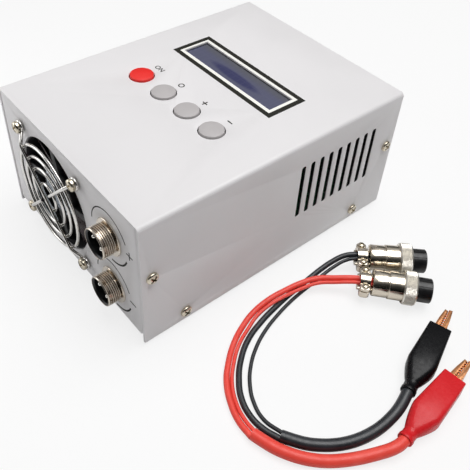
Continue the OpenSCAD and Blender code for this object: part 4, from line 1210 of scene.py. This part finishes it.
# %% Display
refined("lcd_frame", "display_bezel", bezel_black, 0.12, reshape=move_window)
GLASS_BELOW_TOP, GLASS_GAP = 1.3, 0.1
glass_low = Vector((WINDOW[0] + GLASS_GAP, WINDOW[2] + GLASS_GAP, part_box("lcd_glass")[0].z / MM))
glass_high = Vector((WINDOW[1] - GLASS_GAP, WINDOW[3] - GLASS_GAP, top - GLASS_BELOW_TOP))
glass_middle = (glass_low + glass_high) / 2


def switched_off(name):
    finish = new_finish(name, (79, 81, 107), 0.12, coat_weight=0.5, coat_roughness=0.04)
    centred = mapped(finish, on_piece(finish), Location=-glass_middle * MM)
    oval = maths(finish, "LENGTH", mapped(finish, centred, Scale=(59, 345, 1), Location=(0, 0.38, 0)))
    tint(finish, ramp(finish, oval, 1.2, 0.75), (38, 41, 88))
    # Painted reflection: a greyer band towards the glass's far edge, from the cut-out's wall.
    rise = add_node(finish, "ShaderNodeSeparateXYZ")
    feed(finish, centred, rise.inputs[0])
    tint(finish, ramp(finish, rise.outputs["Y"], 2 * MM, 6 * MM, 0, 0.8), (82, 83, 88))
    cells = bricks(finish, centred, {
        "Color2": (0, 0, 0, 1), "Scale": 1.0, "Mortar Size": 0.35 * MM, "Brick Width": 3.55 * MM,
        "Row Height": 5.95 * MM}, offset=0)
    tint(finish, ramp(finish, cells, 0, 1, 0, 0.06), (110, 110, 140))
    uneven_gloss(finish, noise(finish, 8), 0.08, 0.16)
    return finish


glass = begin("display_glass", bpy.ops.mesh.primitive_cube_add, size=1)
bpy.ops.transform.resize(value=(glass_high - glass_low) * MM)
pick(glass, "FACE", lambda face: face.normal.z > 0.5)
bpy.ops.mesh.inset(thickness=0.6 * MM)
bpy.ops.mesh.inset(thickness=0.3 * MM, depth=-0.04 * MM)
put(close_mesh(glass), moved(*glass_middle))
soften(glass, 0.1)
finished(glass, switched_off("display_glass"), stands_for=["lcd_glass"])
print("glass in mm:", [round(size, 1) for size in glass_high - glass_low])

# %% [markdown]
# ## Push buttons
#
# A button is a moulded cap with slightly tapered sides, a nearly flat top
# with a rounded rim, a hollow underside and the stem that works the switch.
# It is one turned section, and each of the four caps rides on its own sliding
# body. The photograph has them slightly taller than CAD.

# %% Push buttons
KEY_R, KEY_H, DOME_R, TALLER = 6.1, 5.6, 26, 0.4


def crown_height(radius_mm):
    return KEY_H - DOME_R + math.sqrt(DOME_R ** 2 - radius_mm ** 2)


def cap_section(bottom_mm):
    """From the stem's foot round the hollow and the skirt to the crown."""
    edge = crown_height(5.5)
    stem = [(0, -2.2), (1.6, -2.2), (1.8, -2), (1.8, 0), (2.4, 0), (2.4, 4.1)]
    skirt = [(5, 4.1), (5, 0), (5.9, 0), (KEY_R, 0.2), (KEY_R, 3.2), (5.88, edge - 0.35), (5.78, edge - 0.1)]
    crown = [(radius_mm, crown_height(radius_mm)) for radius_mm in (5.5, 5.0, 4.0, 2.8, 1.5, 0)]
    return [(r, z + bottom_mm) for r, z in (*stem, *skirt, *crown)]


key_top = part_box("button_on")[1].z / MM + TALLER
cap = turned("cap", cap_section(key_top - KEY_H), 72)
for key, place in key_places.items():
    piece = put(copy_of(cap, "cap_" + key), moved(place.x, place.y, 0))
    finish, slot = (key_red, "key_red") if key == "on" else (key_grey, "key_grey")
    finished(piece, finish, key + "_key", ["button_" + key])
bpy.data.objects.remove(cap)
print("cap top in mm:", round(key_top, 2))

# %% [markdown]
# ## Plugs
#
# A plug is a turned barrel in two steps, a clamp that holds the wires with
# two screws, a black insert with two holes for the socket's pins, and a
# coupling ring that screws onto the socket. Local Z runs along the plug, from
# the clamp to the contacts, and local X points down.

# %% Plug places


def on_plug(place_mm, turn):
    return moved(*place_mm) @ rotated(turn, "Z") @ rotated(90, "Y")


PLUGS = {"red": on_plug((96, 23.5, 8.6), 41), "black": on_plug((84.5, 34, 8.6), 47)}
print("plugs:", len(PLUGS))

# %% [markdown]
# The clamp is half a tube with a flat ear at each side, above and below the
# wires. A turned tube is cut in half with bisect, which also closes the cut.
# An ear is a cube whose free corners are beveled to a round end.

# %% Barrel and clamp
CLAMP_BORE, CLAMP_GAP, CLAMP_SCREW_Y, CLAMP_SCREW_Z = 3.05, 0.3, 5.5, 3.5
EAR_Y, EAR_WIDTH, EAR_LENGTH, EAR_CORNER = 5.2, 4, 5, 1.6


def half_tube(name, outer_mm, low_mm, high_mm, way):
    section = [(CLAMP_BORE, low_mm), (outer_mm, low_mm), (outer_mm, high_mm), (CLAMP_BORE, high_mm),
               (CLAMP_BORE, low_mm)]
    half = turned(name, section)
    take(half)
    bpy.ops.object.mode_set(mode="EDIT")
    bpy.ops.mesh.select_all(action="SELECT")
    bpy.ops.mesh.bisect(plane_co=(way * CLAMP_GAP * MM, 0, 0), plane_no=(way, 0, 0), use_fill=True,
                        clear_inner=True)
    return close_mesh(half)


def ear(name, x0, x1, way):
    """A flat ear from x0 to x1, on the side that way gives."""
    lug = begin(name, bpy.ops.mesh.primitive_cube_add, size=1)
    bpy.ops.transform.resize(value=((x1 - x0) * MM, EAR_WIDTH * MM, EAR_LENGTH * MM))
    pick(lug, "EDGE", lambda e: e.verts[0].co.y * way > 0 and e.verts[1].co.y * way > 0
         and abs(e.verts[0].co.x - e.verts[1].co.x) > MM)
    bpy.ops.mesh.bevel(offset=EAR_CORNER * MM, segments=6)
    close_mesh(lug)
    return put(lug, moved((x0 + x1) / 2, way * EAR_Y, CLAMP_SCREW_Z))


def clamp_half(name, outer_mm, low_mm, high_mm, x0, x1, way):
    pieces = [half_tube(name, outer_mm, low_mm, high_mm, way), ear(name, x0, x1, 1), ear(name, x0, x1, -1)]
    for piece in pieces:
        soften(piece, 0.22)
    clamp = merged(pieces, name)
    smooth(clamp)
    return clamp


barrel_section = [
    (0, 6.9), (5.9, 6.9), (6.3, 7.05), (6.5, 7.4), (6.5, 13.8), (6.42, 14.1), (6.3, 14.2), (6.3, 14.65),
    (6.7, 14.7), (6.85, 14.85), (6.9, 15.1), (6.9, 23.3), (7.3, 23.35), (7.45, 23.5), (7.45, 24.5),
    (7.3, 24.7), (5.85, 24.7), (5.85, 17), (0, 17)]
barrel = merged([
    turned("barrel", barrel_section, 96),
    clamp_half("saddle", 4.6, 0, 7.2, 0.3, 4.0, 1)], "barrel")
strap = clamp_half("strap", 4.4, 1, 6, -2.2, -0.35, -1)
clamp_screw = pan_screw("clamp_screw", head_mm=1.65, height_mm=1.4, shank_mm=1.0, length_mm=7)
screw_steps = [moved(-2.2, way * CLAMP_SCREW_Y, CLAMP_SCREW_Z) @ rotated(-90, "Y") for way in (-1, 1)]
clamp_screws = repeated(clamp_screw, "clamp_screws", screw_steps)
print("barrel faces:", len(barrel.data.polygons))

# %% [markdown]
# The insert is moulded in black plastic. Its face has the two pin holes, and
# a slot for the socket's key runs along it; all three are cut with booleans.
#
# The coupling ring is knurled so that fingers can turn it. Its outer wall is
# turned in rows of small squares, and poke lifts the middle of each one,
# which leaves a grid of little pyramids like the ones a knurling wheel presses.

# %% Insert and knurled ring
INSERT_FROM, SHOULDER_AT, PLUG_LEN, INSERT_R = 17, 28, 35.2, 6
HOLE_R, HOLE_DEPTH, GROOVE_LEN = 1.1, 8, 7.2
RING_FROM, RING_LEN, RING_R = 21.6, 6.2, 8.4
GUIDE_SLOT = (90 + PIN_TURN, 1.8, 0.9)
SMALL_SLOTS = [(turn, 0.8, 0.3) for turn in (210, 330, 180, 25)]


def plug_insert(name):
    """The insert, whose slots are given as a turn, a width and a depth."""
    section = [
        (0, INSERT_FROM), (5.8, INSERT_FROM), (5.8, SHOULDER_AT), (INSERT_R, SHOULDER_AT + 0.1),
        (INSERT_R, PLUG_LEN - 0.4), (5.6, PLUG_LEN), (2.5, PLUG_LEN), (1.2, PLUG_LEN), (0, PLUG_LEN)]
    piece = turned(name, section, 72)
    for step in pin_steps:
        hole = begin("hole", bpy.ops.mesh.primitive_cylinder_add, vertices=32, radius=HOLE_R * MM,
                     depth=2 * HOLE_DEPTH * MM)
        cut(piece, put(close_mesh(hole), step @ moved(0, 0, PLUG_LEN)))
    for turn, width, depth in (GUIDE_SLOT, *SMALL_SLOTS):
        groove = begin("groove", bpy.ops.mesh.primitive_cube_add, size=1)
        bpy.ops.transform.resize(value=(2 * depth * MM, width * MM, 2 * GROOVE_LEN * MM))
        cut(piece, put(close_mesh(groove), rotated(turn, "Z") @ moved(INSERT_R, 0, PLUG_LEN)))
    smooth(piece, 30)
    return piece


def knurled_ring(name, rows=8, steps=84, lift_mm=0.22):
    end, bore, hollow = RING_FROM + RING_LEN, 6.97, 7.65
    low, high = RING_FROM + 0.6, end - 0.6
    wall = RING_R - lift_mm
    section = [(bore, RING_FROM), (7.8, RING_FROM), (wall - 0.1, low - 0.25)]
    section += [(wall, low + (high - low) * row / rows) for row in range(rows + 1)]
    section += [(wall - 0.1, high + 0.25), (7.9, end), (7.75, end), (hollow, end - 0.2),
                (hollow, RING_FROM + 1.4), (bore, RING_FROM + 1.4), (bore, RING_FROM)]
    ring = turned(name, section, steps)
    take(ring)
    bpy.ops.object.mode_set(mode="EDIT")
    pick(ring, "FACE", lambda face: low * MM < face.calc_center_median().z < high * MM
         and face.calc_center_median().xy.length > (wall - 0.1) * MM)
    bpy.ops.mesh.poke(offset=lift_mm * MM)
    bpy.ops.object.mode_set(mode="OBJECT")
    smooth(ring, 18)
    return ring


insert = plug_insert("plug_insert")
ring = knurled_ring("ring")
print("ring faces:", len(ring.data.polygons))

# %% Both plugs


def at_plug(pattern, colour, name):
    return put(copy_of(pattern, colour + name), PLUGS[colour])


leads = {}
for colour in PLUGS:
    leads[colour] = {
        "barrel": finished(at_plug(barrel, colour, "_barrel"), nickel_plate,
                           stands_for=[colour + "_plug_body"]),
        "strap": finished(at_plug(strap, colour, "_clamp_strap"), nickel_plate,
                          stands_for=["plug_clamps"]),
        "screws": finished(at_plug(clamp_screws, colour, "_clamp_screws"), screw_steel,
                           stands_for=["clamp_screws"]),
        "insert": finished(at_plug(insert, colour, "_plug_insulator"), insulator_black,
                           stands_for=["plug_inserts"]),
        "ring": finished(at_plug(ring, colour, "_coupling_ring"), knurled_nickel,
                         colour + "_ring", [colour + "_plug_ring"])}
for pattern in (barrel, strap, clamp_screws, insert, ring):
    bpy.data.objects.remove(pattern)
print("plug pieces:", [len(piece.data.polygons) for piece in leads["red"].values()])

# %% [markdown]
# ## Clips
#
# A clip's boot is a thin skin of soft vinyl, made by dipping a steel form. It
# has a round neck for the sleeve, a wide belly over the handles and a sharp
# rectangular mouth, and flat facets join them. The skin is made from two
# loops of the same number of points, a circle and a rectangle with wide
# corners; extrude makes the neck and the long front part, the corners of the
# mouth are drawn in until they are sharp, bridge makes the facets in between,
# and Solidify gives the wall.

# %% Boots
NECK_R, NECK_LEN, BELLY_X, MOUTH_X, BOOT_HALF = 3.4, 5, 16, 37.5, 4.9
BELLY_W, MOUTH_W, BOOT_WALL, BELLY_CORNER, MOUTH_CORNER = 6.6, 5.2, 0.8, 2.4, 0.3


def on_clip(place_mm, turn):
    return moved(*place_mm) @ rotated(turn, "Z")


CLIPS = {"red": on_clip((162.5, -21, 5.1), 96), "black": on_clip((149.5, -3, 5.1), 107)}


def clip_boot(name):
    """The boot, modelled along Z and then laid along X. Its neck narrows behind the rim."""
    boot = begin(name, bpy.ops.mesh.primitive_circle_add, vertices=24, radius=NECK_R * MM)
    for step_mm, size in ((1.5, 1), (0.35, 0.92), (NECK_LEN - 2.2, 1), (0.35, 1.06)):
        bpy.ops.mesh.extrude_edges_move(TRANSFORM_OT_translate={"value": (0, 0, step_mm * MM)})
        bpy.ops.transform.resize(value=(size, size, 1), center_override=(0, 0, 0))
    bpy.ops.mesh.select_all(action="DESELECT")
    bpy.ops.mesh.primitive_plane_add(size=1, location=(0, 0, BELLY_X * MM))
    bpy.ops.transform.resize(value=(2 * BOOT_HALF * MM, 2 * BELLY_W * MM, 1))
    bpy.ops.mesh.bevel(affect="VERTICES", offset=BELLY_CORNER * MM, segments=5)
    bpy.ops.mesh.delete(type="ONLY_FACE")
    pick(boot, "EDGE", lambda edge: min(v.co.z for v in edge.verts) > (BELLY_X - 1) * MM)
    bpy.ops.mesh.extrude_edges_move(TRANSFORM_OT_translate={"value": (0, 0, (MOUTH_X - BELLY_X) * MM)})
    bpy.ops.transform.resize(value=(1, MOUTH_W / BELLY_W, 1), center_override=(0, 0, 0))
    for way_x, way_y in ((1, 1), (1, -1), (-1, 1), (-1, -1)):
        pick(boot, "VERT", lambda corner: corner.co.z > (MOUTH_X - 1) * MM
             and corner.co.x * way_x > 0 and corner.co.y * way_y > 0)
        sharp_corner = Vector((way_x * BOOT_HALF, way_y * MOUTH_W, MOUTH_X)) * MM
        bpy.ops.transform.resize(value=(MOUTH_CORNER, MOUTH_CORNER, 1), center_override=sharp_corner)
    pick(boot, "EDGE", lambda edge: len(edge.link_faces) == 1
         and all(NECK_LEN - 0.2 < v.co.z / MM < BELLY_X + 0.2 for v in edge.verts))
    bpy.ops.mesh.bridge_edge_loops(number_cuts=4, interpolation="SURFACE", smoothness=0.4)
    close_mesh(boot)
    apply_modifier(boot, "SOLIDIFY", thickness=BOOT_WALL * MM, offset=-1)
    soften(boot, 0.18, 2, 50)
    smooth(boot, 40)
    return put(boot, rotated(90, "Y"))


boot = clip_boot("boot")
for colour, finish in (("red", boot_red), ("black", boot_black)):
    skin = put(copy_of(boot, colour + "_boot"), CLIPS[colour])
    leads[colour]["boot"] = finished(skin, finish, stands_for=[colour + "_clip_boot"])
    leads[colour]["jaw"] = refined(
        colour + "_clip_jaw", colour + "_moving_jaw", jaw_copper, 0.12, colour + "_jaw")
bpy.data.objects.remove(boot)
fixed_jaws = refined("clip_fixed_jaws", "fixed_jaw_pair", jaw_copper, 0.12)
pivot_pins = refined("clip_pins", "pivot_pin_pair", nickel_plate, 0.1)
print("boot faces:", len(skin.data.polygons))

# %% [markdown]
# ## Inside the case
#
# The inside shows only through the slots, the fan and the display's edge. The
# CAD shapes are enough there, so each one only gets the finish of what it is
# made of.

# %% Inside the case
diffuser = moulded("light_guide", (226, 228, 236), 0.5)
inside = {
    "fan_bearing": bearing_bronze, "fan_shaft": shaft_steel, "lcd_backlight": diffuser,
    "display_board": board_green, "main_board": board_green, "display_studs": nickel_plate,
    "board_screws": screw_steel, "board_spacers": nickel_plate, "key_switches": switch_black,
    "heatsink": sink_aluminium, "transistors": switch_black, "capacitors": capacitor_blue,
    "shunt_resistor": shunt_alloy, "dc_jack": switch_black, "ribbon_cable": ribbon_grey,
    "socket_wires_red": pvc_red, "socket_wires_black": pvc_black, "fan_wire": pvc_black,
    "red_clip_spring": nickel_plate, "black_clip_spring": nickel_plate}
for node, finish in inside.items():
    nodes[node].data.materials.clear()
    nodes[node].data.materials.append(finish)
print("inside nodes:", len(inside))

# %% [markdown]
# ## The cords' ends
#
# Each wire runs from where it leaves the sleeve to its plug, and each sleeve
# from that joint to its clip. Each cord is looked up here with the pieces at
# its far end.

# %% The cords' ends
for colour, lead in leads.items():
    at_barrel = [lead[part] for part in ("barrel", "strap", "screws", "insert", "ring")]
    at_clip = [lead["boot"], lead["jaw"], nodes[colour + "_clip_spring"]]
    if colour == "red":
        at_clip += [fixed_jaws, pivot_pins]
    for kind, far_end, pieces in (("power_wire", "plug", at_barrel), ("sense_wire", "plug", at_barrel[:1]),
                                  ("sleeve", "connector", at_clip)):
        cord, points = cords[colour + "_" + kind]
print("cords:", len(cords))
